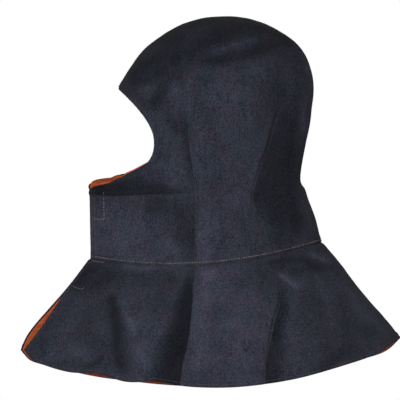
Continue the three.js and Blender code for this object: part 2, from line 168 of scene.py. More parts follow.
# The hem from the back seam to the front edge, as in the part's source.
HEM_COLUMNS = ("at", "drop", "half", "lower")
HEM = table(
    HEM_COLUMNS,
    (0, 0.6, 0, 0),
    (0.03, 0.665, 0.24, 0.7),
    (0.064, 0.735, 0.4, 0.2),
    (0.185, 0.86, 0.74, -0.3),
    (0.29, 0.945, 0.89, -0.3),
    (0.425, 1.003, 0.985, -0.3),
    (0.55, 1.003, 1, -0.1),
    (0.645, 0.96, 0.96, 0.5),
    (0.72, 0.962, 0.87, -0.2),
    (0.795, 0.897, 0.75, 0.65),
    (0.87, 0.884, 0.56, -0.2),
    (0.955, 0.815, 0.26, -0.1),
    (0.98, 0.777, 0.12, 0),
    (1, 0.705, 0, 0),
)

# Folds of the flap on the left (1) and on the right (-1), as in the part's source.
FLAP_FOLDS = {
    1: [
        dict(name="front fold", run=((0.87, 0.12), (0.735, 1)), width=(0.05, 0.1), depth=0.55),
        dict(name="middle fold", run=((0.555, 0.1), (0.6, 1)), width=(0.045, 0.12), depth=1),
        dict(name="rear fold", run=((0.2, 0.1), (0.345, 1)), width=(0.11, 0.085), depth=0.58),
        dict(name="back fold", run=((0.1, 0.2), (0.17, 1)), width=(0.05, 0.06), depth=0.4),
    ],
    -1: [
        dict(name="front fold", run=((0.85, 0.15), (0.77, 1)), width=(0.06, 0.09), depth=0.55),
        dict(name="middle fold", run=((0.5, 0.12), (0.53, 1)), width=(0.04, 0.11), depth=0.9),
        dict(name="rear fold", run=((0.24, 0.1), (0.3, 1)), width=(0.09, 0.07), depth=0.7),
    ],
}

# Creases of the cloth as seen from the side, in millimetres: [y, z] points of the line, how far it reaches
# behind and in front of it (above and below a line that runs back), and its depth, negative for a ridge.
CREASE_COLUMNS = ("name", "points", "width", "depth")
LEFT_CREASES = table(
    CREASE_COLUMNS,
    ("long crease", (
        (-52, -50), (-49, -100), (-46, -135), (-41, -172), (-37, -198), (-37, -300),
    ), (3, 30), 2.6),
    ("long crease ridge", ((-47, -60), (-43, -120), (-36, -172), (-32, -200), (-32, -300)), (10, 3), -0.7),
    ("jaw crease", ((-176, -211), (-120, -211.5), (-38, -209.5)), (26, 2.6), 3.4),
    ("hollow rim", ((90, -90), (95, -130), (95, -190), (99, -240)), (6, 6), -1.5),
    ("hollow edge", (
        (66, -104), (53, -151), (43, -175), (35, -199), (32, -217), (37, -234), (50, -246),
    ), (38, 5), 4.0),
    ("hollow lip", ((58, -108), (46, -156), (34, -188), (28, -212), (31, -234)), (5, 14), -1.0),
    ("crown fold", ((-52, -38), (-20, -24), (-5, -12)), (8, 7), 1.4),
    ("crown ridge", ((-14, -38), (16, -26), (62, -19)), (9, 7), -1.5),
    ("crown dip", ((-31, -50), (23, -41), (88, -27)), (9, 10), 1.7),
    ("side break", ((-52, -52), (-12, -54), (30, -60)), (18, 5), 1.2),
    ("temple dip", ((-94, -103), (-73, -86), (-58, -64)), (10, 9), 1.9),
    ("temple lump", ((-100, -50), (-84, -38)), (10, 10), -1.0),
    ("cheek drag", ((-84, -158), (-62, -172), (-42, -184)), (7, 7), 0.9),
    ("cheek break", ((-62, -120), (-58, -150), (-50, -186)), (9, 5), 0.8),
    ("neck drag", ((-150, -262), (-128, -240), (-100, -228)), (6, 8), 0.6),
    ("neck pull", ((-52, -284), (-66, -262), (-84, -232)), (5, 12), 0.9),
    ("ear drag", ((-20, -120), (2, -160), (20, -190)), (9, 12), 0.7),
)
RIGHT_CREASES = table(
    CREASE_COLUMNS,
    ("long crease", ((-44, -70), (-40, -130), (-46, -205), (-52, -300)), (4, 28), 2.6),
    ("jaw crease", ((-170, -204), (-110, -207), (-60, -203)), (22, 3), 2.4),
    ("hollow edge", ((62, -112), (44, -166), (38, -206), (58, -244)), (38, 5), 3.4),
    ("hollow rim", ((90, -90), (95, -130), (95, -190), (99, -240)), (6, 6), -1.2),
    ("crown ridge", ((-20, -36), (20, -24), (64, -22)), (9, 7), -1.2),
    ("crown dip", ((-36, -54), (20, -44), (86, -30)), (9, 10), 1.4),
    ("temple dip", ((-98, -100), (-76, -88), (-62, -66)), (10, 9), 1.5),
    ("neck drag", ((-146, -266), (-120, -238), (-96, -230)), (7, 8), 0.9),
    ("ear drag", ((-14, -118), (8, -156), (16, -196)), (9, 12), 1.0),
)
FLAP_CREASES = {
    1: table(
        CREASE_COLUMNS,
        ("wedge", ((-39, -310), (-40, -337), (-44, -373), (-51, -405), (-56, -440)), (3, 32), 5.5),
        ("wedge ridge", ((-35, -310), (-36, -337), (-40, -373), (-47, -405), (-52, -440)), (9, 3), -1.0),
        ("rear valley", (
            (66, -316), (64, -342), (57, -362), (54, -380), (47, -420), (46, -445),
        ), (24, 3), 3.8),
        ("rear ridge", (
            (62, -318), (60, -342), (53, -362), (50, -380), (43, -420), (42, -445),
        ), (3, 9), -1.2),
        ("front valley", ((-140, -322), (-131, -352), (-125, -391), (-123, -430)), (13, 12), 2.2),
        ("under the seam", ((-155, -302), (-100, -309), (-50, -310)), (5, 8), 0.9),
        ("loop wrinkle", ((-40, -318), (-27, -308), (-13, -303)), (3, 4), 0.9),
        ("loop wrinkle below", ((-36, -330), (-22, -316), (-8, -311)), (3, 4), 0.7),
        ("rear drag", ((52, -299), (70, -310), (85, -325)), (5, 5), -1.3),
        ("back ridge", ((89, -276), (108, -281), (131, -291)), (5, 4), -1.4),
        ("back valley", ((98, -288), (118, -294), (136, -302)), (5, 8), 1.6),
        ("back wrinkle", ((110, -421), (124, -408), (137, -397)), (5, 5), 1.5),
        ("front wrinkle", ((-173, -418), (-158, -409), (-141, -400)), (4, 5), 1.1),
        ("corner wrinkle", ((-223, -383), (-219, -392), (-216, -400)), (4, 4), 0.9),
        ("hem sag", ((0, -360), (4, -395), (2, -432)), (12, 14), 0.7),
    ),
    -1: table(
        CREASE_COLUMNS,
        ("middle valley", ((-30, -305), (-38, -345), (-44, -440)), (4, 28), 4.2),
        ("rear valley", ((72, -318), (66, -350), (60, -440)), (20, 4), 3.0),
        ("front valley", ((-132, -325), (-128, -360), (-130, -430)), (12, 9), 2.0),
        ("back ridge", ((90, -277), (110, -284), (130, -294)), (5, 4), -1.2),
        ("front wrinkle", ((-190, -380), (-170, -396), (-158, -410)), (5, 5), 1.0),
    ),
}

# The light and dark that the photograph shows on the cloth, charted over its plain colour. Most of it is the
# shading of folds, seen from the left, and it stays on the cloth from every side. Each has its middle as [y,
# z], how far it reaches each way, and its tone in doublings, negative where the cloth is darker.
# These tones are painted shade and painted light laid over the denim's own colour.
TONE_COLUMNS = ("name", "middle", "reach", "tone")
TONES = table(
    TONE_COLUMNS,
    ("crown", (-10, 4), (150, 32), -0.85),
    ("crown band", (20, -34), (90, 14), -0.35),
    ("brow", (-104, -62), (40, 46), -0.5),
    ("above the brow", (-73, -20), (22, 14), -0.4),
    ("nape hollow", (68, -169), (29, 62), -0.55),
    ("behind the ear", (72, -95), (20, 29), -0.4),
    ("nape", (72, -241), (23, 29), -0.6),
    ("above the jaw", (-55, -184), (16, 17), 0.25),
    ("end of the jaw", (-82, -210), (18, 22), -0.4),
    ("forehead", (-94, -88), (14, 10), 0.4),
    ("behind the temple, far", (55, -95), (14, 20), -0.35),
    ("back of the head, pale", (36, -67), (13, 16), 0.3),
    ("nape, wide", (74, -248), (22, 29), -0.35),
    ("whole crown", (-19, -35), (72, 22), -0.2),
    ("under the chin", (-138, -198), (43, 12), -0.2),
    ("below the jaw", (-76, -226), (26, 11), -0.5),
    ("neck front", (-126, -260), (40, 34), 0.5),
    ("neck beside the seam", (-67, -277), (16, 16), 0.25),
    ("flap middle", (16, -374), (38, 60), 0.4),
    ("flap middle, below the seam", (-16, -317), (18, 22), 0.3),
    ("behind the jaw", (-23, -260), (14, 36), 0.4),
    ("top of the flap's middle", (-26, -299), (17, 11), 0.4),
    ("behind the front valley, above", (-127, -335), (19, 14), 0.25),
    ("before the rear corner", (149, -380), (24, 22), -0.35),
    ("behind the rear valley", (70, -373), (6, 19), 0.4),
    ("flap middle, above", (2, -307), (22, 19), 0.3),
    ("before the wedge", (-77, -350), (17, 12), -0.3),
    ("front corner, pale", (-190, -397), (26, 11), 0.3),
    ("before the front valley", (-142, -400), (14, 17), -0.25),
    ("rear, above the corner", (125, -347), (29, 17), -0.25),
    ("flap front", (-96, -379), (31, 60), 0.25),
    ("flap back", (143, -337), (41, 43), 0.25),
    ("flap below the front of the seam", (-166, -308), (34, 18), -0.65),
    ("flap below the back of the seam", (92, -299), (41, 12), -0.25),
)

# The same painted shade and painted light in strokes along a line, on the left side only.
STROKE_COLUMNS = ("name", "points", "width", "tone")
STROKES = table(
    STROKE_COLUMNS,
    ("pale fold of the crown", ((-50, -30), (-46, -18), (-29, -12), (-11, -7)), (10, 10), 0.4),
    ("crown trough", ((-43, -37), (-25, -32), (-1, -19), (29, -11)), (10, 8), -0.4),
    ("crown ridge", ((-24, -42), (-2, -36), (20, -30), (48, -22)), (7, 7), 0.7),
    ("edge of the crown", ((-36, -49), (-14, -53), (12, -50), (43, -40), (70, -28)), (8, 6), -0.45),
    ("brow fold", ((-122, -79), (-103, -58), (-79, -48), (-50, -46)), (14, 11), -0.6),
    ("end of the brow fold", ((-67, -43), (-50, -41), (-31, -43)), (10, 10), -0.5),
    ("temple ridge", ((-110, -88), (-94, -83), (-77, -78)), (8, 13), 0.45),
    ("temple valley", ((-60, -64), (-76, -85), (-91, -106)), (7, 8), -0.5),
    ("behind the temple", ((-67, -71), (-62, -85), (-58, -96)), (13, 11), 0.6),
    ("cheek", ((-70, -112), (-62, -128), (-58, -145)), (11, 10), -0.4),
    ("back rim", ((77, -23), (94, -47), (101, -73), (98, -109), (92, -145)), (10, 8), 0.45),
    ("hollow's floor", ((79, -115), (73, -169), (77, -211), (80, -256)), (10, 11), -0.35),
    ("rim of the hollow", ((89, -212), (98, -234), (106, -260)), (7, 7), 0.2),
    ("in front of the hollow", ((55, -116), (46, -145), (36, -179), (29, -211)), (7, 11), 0.3),
    ("under the front of the seam", ((-130, -294), (-103, -298), (-73, -296), (-43, -295)), (6, 7), 0.75),
    ("beside the wedge", ((-23, -294), (-25, -337), (-31, -385), (-38, -428)), (16, 12), 0.55),
    ("front valley", ((-139, -323), (-132, -367), (-130, -397), (-124, -425)), (13, 11), -1.0),
    ("behind the front valley", ((-131, -328), (-119, -356), (-106, -385)), (11, 7), 0.6),
    ("below the back of the seam", (
        (43, -292), (71, -289), (91, -288), (104, -296), (120, -302),
    ), (6, 6), -0.9),
    ("back ridge", ((94, -280), (113, -288), (132, -293)), (6, 5), 0.8),
    ("diagonal ridge", ((58, -302), (74, -312), (89, -326)), (7, 7), 0.8),
    ("dark diagonal", ((151, -385), (144, -402), (119, -416), (95, -422)), (7, 7), -0.55),
    ("foot of the flap", ((11, -421), (31, -422), (50, -422)), (10, 7), -0.35),
    ("under the front of the jaw", ((-96, -180), (-89, -190)), (6, 6), -0.4),
    ("front wrinkle", ((-175, -419), (-158, -414), (-142, -401)), (5, 5), -0.6),
    ("corner wrinkle", ((-221, -378), (-220, -392), (-214, -407)), (6, 6), -0.6),
    ("pale cloth by the front corner", ((-197, -397), (-175, -397), (-158, -391)), (10, 10), 0.3),
    ("brow shade", ((-122, -83), (-91, -70), (-55, -52), (-19, -41)), (14, 14), -0.4),
    ("back shade", (
        (82, -37), (85, -73), (86, -109), (80, -151), (77, -193), (82, -229), (88, -265),
    ), (14, 12), -0.45),
    ("cheek shade", ((-84, -102), (-70, -119), (-60, -138)), (12, 11), -0.3),
    ("crown rim behind", ((17, -5), (50, -13), (79, -31)), (11, 11), -0.4),
    ("crown rim before", ((-82, -25), (-65, -17)), (8, 8), -0.4),
    ("face edge", (
        (-122, -86), (-106, -102), (-91, -121), (-85, -145), (-88, -164), (-96, -178),
    ), (5, 5), 0.45),
    ("top of the front edge", ((-190, -329), (-166, -302), (-146, -294)), (11, 11), -0.5),
    ("below the rear of the seam", ((70, -300), (101, -300), (131, -298)), (6, 6), -0.4),
    ("rear edge", ((143, -320), (173, -356), (199, -383)), (8, 8), 0.4),
    ("crease side, above", ((-48, -59), (-46, -97), (-43, -133)), (5, 7), 0.3),
    ("crease side, below", ((-40, -157), (-38, -181), (-43, -203)), (11, 10), 0.3),
    ("jaw edge shade", ((-161, -210), (-139, -203), (-110, -193), (-91, -188)), (6, 6), -0.4),
    ("brow shade, ahead", ((-91, -107), (-79, -102), (-72, -92)), (7, 7), -0.4),
    ("above the front of the seam", ((-137, -284), (-108, -289), (-67, -286)), (10, 6), 0.3),
    ("flap front shade", ((-170, -328), (-146, -313), (-118, -307)), (8, 8), -0.4),
    ("wedge side", ((-36, -301), (-37, -337), (-41, -391)), (7, 7), 0.3),
    ("behind the valley, below", ((-110, -380), (-101, -403), (-94, -428)), (10, 10), 0.35),
    ("rear rim", ((94, -49), (101, -67), (103, -88)), (6, 6), 0.4),
    ("above the rear hem", ((115, -412), (143, -392)), (7, 7), -0.3),
    ("drag from the front edge", ((-204, -384), (-182, -373), (-163, -366)), (5, 6), -0.25),
)

# The sharp folds of the left side, where painted shade steps the tone from one side of a line to the other:
# the dark side (1 is behind or above), and [y, z, shade, reach] all along it. The shade is painted shade in
# doublings, on the dark side.
FOLD_COLUMNS = ("name", "dark_side", "points")
HOOD_FOLDS = table(
    FOLD_COLUMNS,
    ("long crease", -1, (
        (-53, -49, -0.2, 11), (-52, -67, -0.3, 11), (-50, -88, -0.1, 10), (-48, -104, 0, 7),
        (-47, -124, -0.35, 7), (-44, -155, -0.85, 7), (-40, -179, -0.8, 8), (-37, -198, -0.35, 10),
        (-38, -212, -0.15, 17), (-37, -232, -0.55, 26), (-37, -265, -0.65, 24), (-34, -287, -0.15, 14),
    )),
    ("jaw crease", 1, (
        (-166, -210, -1.1, 14), (-142, -212, -1.35, 17), (-122, -212, -1.15, 18),
        (-103, -211, -1.0, 18), (-84, -210, -0.85, 13), (-65, -210, -0.6, 8), (-48, -209, -0.35, 6),
        (-38, -209, 0, 5),
    )),
    ("hollow edge", 1, (
        (70, -104, -0.1, 17), (60, -127, -0.35, 26), (53, -151, -0.5, 34), (43, -175, -0.6, 41),
        (35, -199, -0.8, 46), (32, -217, -0.8, 46), (37, -234, -0.6, 41), (50, -246, -0.35, 31),
        (71, -253, 0, 17),
    )),
)
FLAP_EDGES = table(
    FOLD_COLUMNS,
    ("wedge", -1, (
        (-36, -299, -0.3, 6), (-40, -317, -1.1, 11), (-40, -337, -1.45, 16), (-42, -356, -1.55, 20),
        (-44, -376, -1.6, 25), (-48, -395, -1.6, 32), (-52, -412, -1.55, 35), (-55, -436, -1.5, 36),
    )),
    ("rear valley", 1, (
        (67, -313, 0, 5), (65, -325, -0.5, 7), (64, -342, -0.85, 11), (58, -361, -1.0, 14),
        (54, -380, -1.1, 17), (50, -400, -1.15, 18), (47, -416, -1.2, 18), (47, -436, -1.15, 18),
    )),
)
FOLD_SLOTS = 3  # how many sharp folds one piece of cloth may have
# Painted shade in creases and painted light on ridges, by how far the cloth is drawn in.
PAINTED_CREASE_SHADE = -0.16  # doublings for each millimetre that a crease draws the cloth in

# Painted shade along the line of each sharp fold, and a painted highlight just across it.
FOLD_LINE = 0.35  # the line of a sharp fold is darker than its dark side by this share of the shade
FOLD_LIP = -0.2  # and the cloth just across it is paler by this one
CREASE_END = 14.0  # a crease fades out over so much at each end

# Stitching, as distances from the edge or seam beside it
NECK_STITCH = 1.9  # from the hood's lower edge up to its topstitching
EDGE_STITCHES = (3.4, 7.4)
HEM_STITCH = 3.0
SEAM_STITCH = 2.6
STITCH_PITCH = 3.0
STITCH_LENGTH = 2.35
STITCH_RADIUS = 0.3
STITCH_SIDES = 6
STITCH_RINGS = (
    (0.0, 0.3, -0.35),
    (0.14, 0.85, 0.05),
    (0.5, 1.0, 0.22),
    (0.86, 0.85, 0.05),
    (1.0, 0.3, -0.35),
)

# Lining and tapes
LINING_LAP = 2.6  # how much deeper the hood's lining lies at the neck seam, inside the flap's
TAPE_CLEARANCE = 0.3  # between a hook tape and the lining's rumples
BRISTLE_HEIGHT = 0.9
BRISTLES = dict(
    hook=dict(
        pitch=1.5,
        half_width=0.16,
        aligned=True,
        profile=((0.0, 0.0), (0.05, 0.55), (0.22, 0.95), (0.5, 1.05), (0.68, 0.8)),
    ),
    loop=dict(
        pitch=1.3,
        half_width=0.1,
        aligned=False,
        profile=((-0.45, 0.0), (-0.5, 0.5), (-0.1, 0.9), (0.4, 0.6), (0.35, 0.0)),
    ),
)

# Colours
DENIM_DARK = (0.0110, 0.0122, 0.0205, 1)
DENIM_PALE = (0.0760, 0.0790, 0.1120, 1)
DENIM_TINTS = ((0.90, 1.03, 1.02, 1), (1.08, 0.97, 1.03, 1))

# Surroundings
PHOTO_WIDTH = 480.0  # what the photograph's width spans at the cap, in millimetres
PHOTO_CENTRE = (0.0, -31.2, -217.2)
CAMERA_DISTANCE = 12000.0
CAMERA_HEIGHT_ANGLE = math.radians(-1)
SENSOR = 36.0
FLOOR_HEIGHT = -0.56

# Random draws
RELIEF_SEED = 11
LINING_SEED = 29
STITCH_SEED = 47
HOOK_SEED = 61


def lerp(a, b, k):
    return a + (b - a) * k


def ease(k):
    k = np.clip(k, 0, 1)
    return k * k * (3 - 2 * k)


def ramp(value, start, end):
    return ease((value - start) / (end - start))


def hermite(a, b, slope_a, slope_b, k):
    stay = (1 + 2 * k) * (1 - k) ** 2
    return a * stay + b * (1 - stay) + slope_a * k * (1 - k) ** 2 - slope_b * (1 - k) * k**2


def through(values, t):
    """A smooth curve through values at the knots 0, 1, 2 and so on."""
    values = np.asarray(values, float)
    last = len(values) - 1
    i = np.minimum(last - 1, np.floor(t).astype(int))
    before, start, end, after = (values[np.clip(i + k, 0, last)] for k in (-1, 0, 1, 2))
    return hermite(start, end, (end - before) / 2, (after - start) / 2, t - i)


def column(table, name, at):
    """The same through the column of a table whose rows say where they are."""
    knots = np.array([row["at"] for row in table], float)
    values = np.array([row[name] for row in table], float)
    last = len(knots) - 1
    i = np.clip(np.searchsorted(knots, at, side="left") - 1, 0, last - 1)

    def slope(k):
        after, before = np.clip(k + 1, 0, last), np.clip(k - 1, 0, last)
        return (values[after] - values[before]) / (knots[after] - knots[before])

    span = knots[i + 1] - knots[i]
    k = (at - knots[i]) / span
    return hermite(values[i], values[i + 1], slope(i) * span, slope(i + 1) * span, k)


def furrow(run, width, across_at, down_at, widen=lambda k: 1.0):
    """How deep a dent or fold is at a place, from 0 off it to 1 on its line."""
    (a0, a1), (b0, b1) = run
    run0, run1 = b0 - a0, b1 - a1
    length = math.hypot(run0, run1)
    off0, off1 = across_at - a0, down_at - a1
    along = (off0 * run0 + off1 * run1) / length
    across = (off0 * run1 - off1 * run0) / length
    past = np.maximum(0, np.maximum(-along, along - length))
    reach = np.where(across < 0, width[0], width[1]) * widen(np.clip(along / length, 0, 1))
    return 1 - ease(np.hypot(across / reach, past / max(width)))


def crease(points, width, y, z):
    """The same for a line of several points in millimetres, with a sharper floor and ends that fade out."""
    deepest = np.zeros(np.broadcast(y, z).shape)
    lengths = [math.dist(a, b) for a, b in zip(points, points[1:])]
    total = sum(lengths)
    ending = min(CREASE_END, total / 4)
    walked = 0.0
    for a, b, length in zip(points, points[1:], lengths):
        run0, run1 = b[0] - a[0], b[1] - a[1]
        off0, off1 = y - a[0], z - a[1]
        along = np.clip((off0 * run0 + off1 * run1) / length**2, 0, 1)
        away = np.hypot(off0 - along * run0, off1 - along * run1)
        behind = off0 * run1 - off1 * run0 < 0
        to_end = np.minimum(walked + along * length, total - walked - along * length)
        fade = ease(to_end / ending)
        reach = np.where(behind, width[0], width[1]) * lerp(0.5, 1, fade)
        deepest = np.maximum(deepest, fade * np.exp(-((away / (0.62 * reach)) ** 1.5)))
        walked += length
    return deepest


def billow(points, size, seed):
    """Smooth noise from -1 to 1 over points in space, with humps about that size across."""
    table = np.random.default_rng(seed).uniform(-1, 1, (16, 16, 16))
    at = points / size
    cell = np.floor(at).astype(int)
    k = ease(at - cell)
    total = 0.0
    for dx in (0, 1):
        for dy in (0, 1):
            for dz in (0, 1):
                weight = np.ones(at.shape[:-1])
                for axis, d in enumerate((dx, dy, dz)):
                    weight = weight * (k[..., axis] if d else 1 - k[..., axis])
                corner = cell + (dx, dy, dz)
                total = total + weight * table[tuple((corner % 16)[..., axis] for axis in range(3))]
    return total


# The two surfaces, as in the part's source


def section_ends(name):
    ends = []
    for row in SECTIONS:
        start, end, in_y, in_z = row[name]
        ends.append((lerp(start[0], end[0], in_y), lerp(start[1], end[1], in_z)))
    return np.array(ends)


SEAM_ENDS = section_ends("seam")
EDGE_ENDS = section_ends("edge")


def hood(t, s, side):
    """The outside of the hood. t is the section, and s runs from the centre seam at 0 to the edge at 1."""
    seam = [through(SEAM_ENDS[:, k], t) for k in (0, 1)]
    edge = [through(EDGE_ENDS[:, k], t) for k in (0, 1)]
    if side < 0:
        at_chin = ramp(t, CHIN_SECTION - 3, CHIN_SECTION - 1.8) * ramp(t, LAST_SECTION, CHIN_SECTION)
        at_cheek = ramp(t, CHEEK_SECTION - 0.5, CHEEK_SECTION + 1.2)
        at_cheek = at_cheek * ramp(t, CHIN_SECTION - 2.1, CHIN_SECTION - 3)
        edge[1] = edge[1] + RIGHT_CHIN_LIFT * at_chin - RIGHT_CHEEK_DROP * at_cheek
    neck = ramp(t, CHIN_SECTION - 3, CHIN_SECTION + 3)
    gap = ramp(t, CHIN_SECTION - 3, CHIN_SECTION) * FRONT_GAP
    names = ("half", "widest", "cheek")
    half_share, widest, cheek = (through([row[name] for row in SECTIONS], t) for name in names)
    edge_half = (cheek * FACE_BREADTH + gap) / 2
    half = np.maximum(half_share * lerp(HEAD_BREADTH, NECK_BREADTH, neck) / 2, edge_half)
    widest = np.clip(widest, 0, 1)
    split = widest**0.8
    low = math.sin(SEAM_RIDGE) ** SIDE_FLATNESS
    turn = lerp(SEAM_RIDGE, math.pi / 2, np.minimum(1, s / np.maximum(split, 1e-9)))
    rest = np.clip((s - split) / np.maximum(1 - split, 1e-9), 0, 1)
    swelling = s < split
    way = np.where(swelling, widest * (1 - np.cos(turn) / math.cos(SEAM_RIDGE)), lerp(widest, 1, rest))
    swell = half * (np.sin(turn) ** SIDE_FLATNESS - low) / (1 - low)
    x = np.where(swelling, swell, lerp(half, edge_half, rest**2.2))
    sag = NECK_SEAM_SAG * np.clip((t - CHIN_SECTION + 1) / (LAST_SECTION - CHIN_SECTION + 1), 0, 1) ** 2
    y = lerp(seam[0], edge[0], way)
    z = lerp(seam[1], edge[1], way) - sag * 4 * way * (1 - way)
    under_chin = ramp(t, CHEEK_SECTION, CHIN_SECTION - 2) * ramp(t, CHIN_SECTION + 0.8, CHIN_SECTION)
    dents = sum(
        dent["depth"] * furrow(dent["run"], dent["width"], y / BACK_REACH, (z - WALL) / NECK_BACK_DROP)
        for dent in HOOD_DENTS
    )
    inwards = dents * HEAD_BREADTH / 2 * ramp(x, 0, HEAD_BREADTH / 4)
    inwards = inwards + CHIN_ROLL * under_chin * ramp(s, 0.8, 1)
    return np.stack(np.broadcast_arrays((x - inwards) * side, y, z), axis=-1)


def flap_way(top):
    """The share of the way to the front of the flap, at a place on the neck seam."""
    return (REAR[0] - top[..., 1]) / (REAR[0] - THROAT[0])


def flap(down, around, side):
    """The outside of the flap. around runs from the back seam to the front edge, and down to the hem."""
    top = hood(np.full(np.shape(around), float(LAST_SECTION)), around, side)
    way = flap_way(top)
    lowest = (REAR[1] + THROAT[1]) / 2 - NECK_SEAM_SAG
    lower = column(HEM, "lower", way) * HEM_UNEVEN if side < 0 else 0
    hem_x = (column(HEM, "half", way) * HEM_BREADTH + ramp(way, 0.9, 1) * HEM_FRONT_GAP) / 2
    hem_y = lerp(HEM_BACK_REACH, -HEM_FRONT_REACH, way)
    hem_z = lowest - FLAP_DROP * column(HEM, "drop", way) - lower
    top_x = np.abs(top[..., 0])
    x = lerp(top_x, hem_x, 1 - (1 - down) ** SHOULDER)
    folds = sum(
        fold["depth"] * furrow(fold["run"], fold["width"], way, down, lambda k: lerp(0.35, 1, k))
        for fold in FLAP_FOLDS[side]
    )
    inwards = FLAP_FOLD * down**0.8 * folds * ramp(x, 0, HEAD_BREADTH / 4)
    forward = RIGHT_EDGE_FORWARD * np.sin(math.pi * down**2.6)
    bow = forward if side < 0 else -LEFT_EDGE_BACK * ramp(down, 0.2, 0.8)
    y = lerp(top[..., 1], hem_y, down) - bow * ramp(way, 0.85, 1)
    z = lerp(top[..., 2], hem_z, down)
    return np.stack(np.broadcast_arrays((x - inwards) * side, y, z), axis=-1)


# Grids of cloth


def spread(length, count, start_steps, end_steps):
    """count distances from 0 to length: the steps beside each end, and even ones between them."""
    scale = min(1.0, 0.4 * length / max(start_steps[-1] + end_steps[-1], 1e-9))
    start = np.array(start_steps) * scale
    end = length - np.array(end_steps)[::-1] * scale
    between = np.linspace(start[-1], end[0], count - len(start) - len(end) + 2)[1:-1]
    return np.concatenate([start, between, end])


def arc(points):
    """Distance walked along each row of points."""
    steps = np.linalg.norm(np.diff(points, axis=-2), axis=-1)
    return np.concatenate([np.zeros(steps.shape[:-1] + (1,)), np.cumsum(steps, axis=-1)], axis=-1)


def even_columns(surface, rows, side, count, end_steps):
    """The v of each node of a grid, so that its columns lie at even distances along every row."""
    fine = np.linspace(0, 1, 700)
    walked = arc(surface(rows[:, None], fine[None, :], side))
    return np.array([np.interp(spread(w[-1], count, SEAM_STEPS, end_steps), w, fine) for w in walked])


def rows_by_length(surface, low, high, side, count, start_steps, end_steps):
    """The u of each row of a grid, at even distances as they are measured half way along it."""
    fine = np.linspace(low, high, 900)
    walked = arc(surface(fine, np.full(fine.shape, 0.45), side))
    return np.interp(spread(walked[-1], count, start_steps, end_steps), walked, fine)


def outward(points, side):
    """The way out of the cloth at each node of a grid."""
    down = np.gradient(points, axis=0)
    over = np.gradient(points, axis=1)
    out = np.cross(over, down) * side
    return unit(out)


def crease_relief(creases, points, left_out=()):
    """How far a list of creases draws the cloth in, in millimetres."""
    y, z = points[..., 1], points[..., 2]
    kept = [row for row in creases if row["name"] not in left_out]
    return sum(row["depth"] * crease(row["points"], row["width"], y, z) for row in kept)


def fold_fields(fold, points):
    """The signed distance to a sharp fold, which is positive on its dark side, and its shade there."""
    y, z = points[..., 1], points[..., 2]
    nearest = np.full(y.shape, np.inf)
    signed, shade = np.zeros(y.shape), np.zeros(y.shape)
    rows = fold["points"]
    for a, b in zip(rows, rows[1:]):
        run0, run1 = b[0] - a[0], b[1] - a[1]
        length = math.hypot(run0, run1)
        off0, off1 = y - a[0], z - a[1]
        along = (off0 * run0 + off1 * run1) / length**2
        k = np.clip(along, 0, 1)
        past = (along - k) * length
        across = (off0 * run1 - off1 * run0) / length * -fold["dark_side"]
        away = np.hypot(across, past)
        reach = lerp(a[3], b[3], k)
        here = lerp(a[2], b[2], k) * np.exp(-((across / reach) ** 4) - (past / 6) ** 2)
        closer = away < nearest
        nearest = np.where(closer, away, nearest)
        signed = np.where(closer, across, signed)
        shade = np.where(closer, here, shade)
    return signed, shade


def tone_values(points, creases, folds, side):
    """The numbers that the denim's shader reads: its tone of painted shade and light in doublings, and each
    sharp fold's two fields for its painted shade.
    The tables give these as seen level from the side, a little from below."""
    points = points.copy()
    points[..., 2] += np.abs(points[..., 0]) * math.tan(math.radians(1))
    relief = crease_relief(creases, points, {row["name"] for row in folds})
    values = dict(tone=tones(points, relief, STROKES if side > 0 else ()))
    for n, fold in enumerate(folds):
        values[f"fold_{n}"], values[f"shade_{n}"] = fold_fields(fold, points)
    return values


def tones(points, creased, strokes):
    """The doublings of the denim's tone: painted shade in creases, painted light on ridges, and painted shade
    and light as the tables chart it.
    """
    y, z = points[..., 1], points[..., 2]
    total = PAINTED_CREASE_SHADE * creased
    for row in strokes:
        total = total + row["tone"] * crease(row["points"], row["width"], y, z)
    for row in TONES:
        (middle_y, middle_z), (reach_y, reach_z) = row["middle"], row["reach"]
        away = np.hypot((y - middle_y) / reach_y, (z - middle_z) / reach_z)
        total = total + row["tone"] * np.exp(-(away**4))
    return total


def wrinkles(points, side, seed):
    """The cloth's own unevenness, from broad billows to small rumples, in millimetres."""
    shift = np.array([0, 0, 40.0]) if side < 0 else np.zeros(3)
    broad = 1.3 * billow(points + shift, 46, seed)
    middle = 0.55 * billow(points + shift, 21, seed + 1)
    small = 0.22 * billow(points + shift, 9, seed + 2)
    return broad + middle + small


def hem_profile(away):
    """How far the turned-under cloth of a free edge stands up, so far from the edge."""
    return HEM_RISE * (1 - ramp(away, HEM_WIDTH - 1.2, HEM_WIDTH + 0.6))


def stitch_groove(away, at, depth=0.45, width=0.9):
    """The dip that a row of stitches pulls into the cloth, so far from an edge."""
    return depth * np.exp(-(((away - at) / width) ** 2))


def puckers(walked, away, at, reach, depth, pitch=7.0):
    """Small ripples across a seam, strongest beside it."""
    wave = np.sin(2 * math.pi * walked / pitch + 1.7 * np.sin(walked / 23.0))
    return depth * wave * np.exp(-np.abs(away - at) / reach)


def free_edge(inwards, from_edge):
    """Adds the turned-under cloth and the two rows of stitches of a free edge to a relief."""
    inwards = inwards - hem_profile(from_edge)
    for at in EDGE_STITCHES:
        inwards = inwards + stitch_groove(from_edge, at)
    return inwards


def unit(vectors):
    return vectors / np.maximum(np.linalg.norm(vectors, axis=-1, keepdims=True), 1e-9)


def along(at, knots, vectors):
    """Vectors between those at the knots."""
    return np.stack([np.interp(at, knots, vectors[:, k]) for k in range(3)], axis=-1)


def extended(grid):
    """A grid of the flap with its first row twice more, for the cloth that is tucked up."""
    return np.concatenate([grid[:1], grid[:1], grid])


def settle(points, out, inwards, side):
    """Draws a grid of points in along its normals and keeps it on its own side of the middle plane."""
    settled = points - out * inwards[..., None]
    settled[..., 0] = np.maximum(settled[..., 0] * side, 0) * side
    return settled


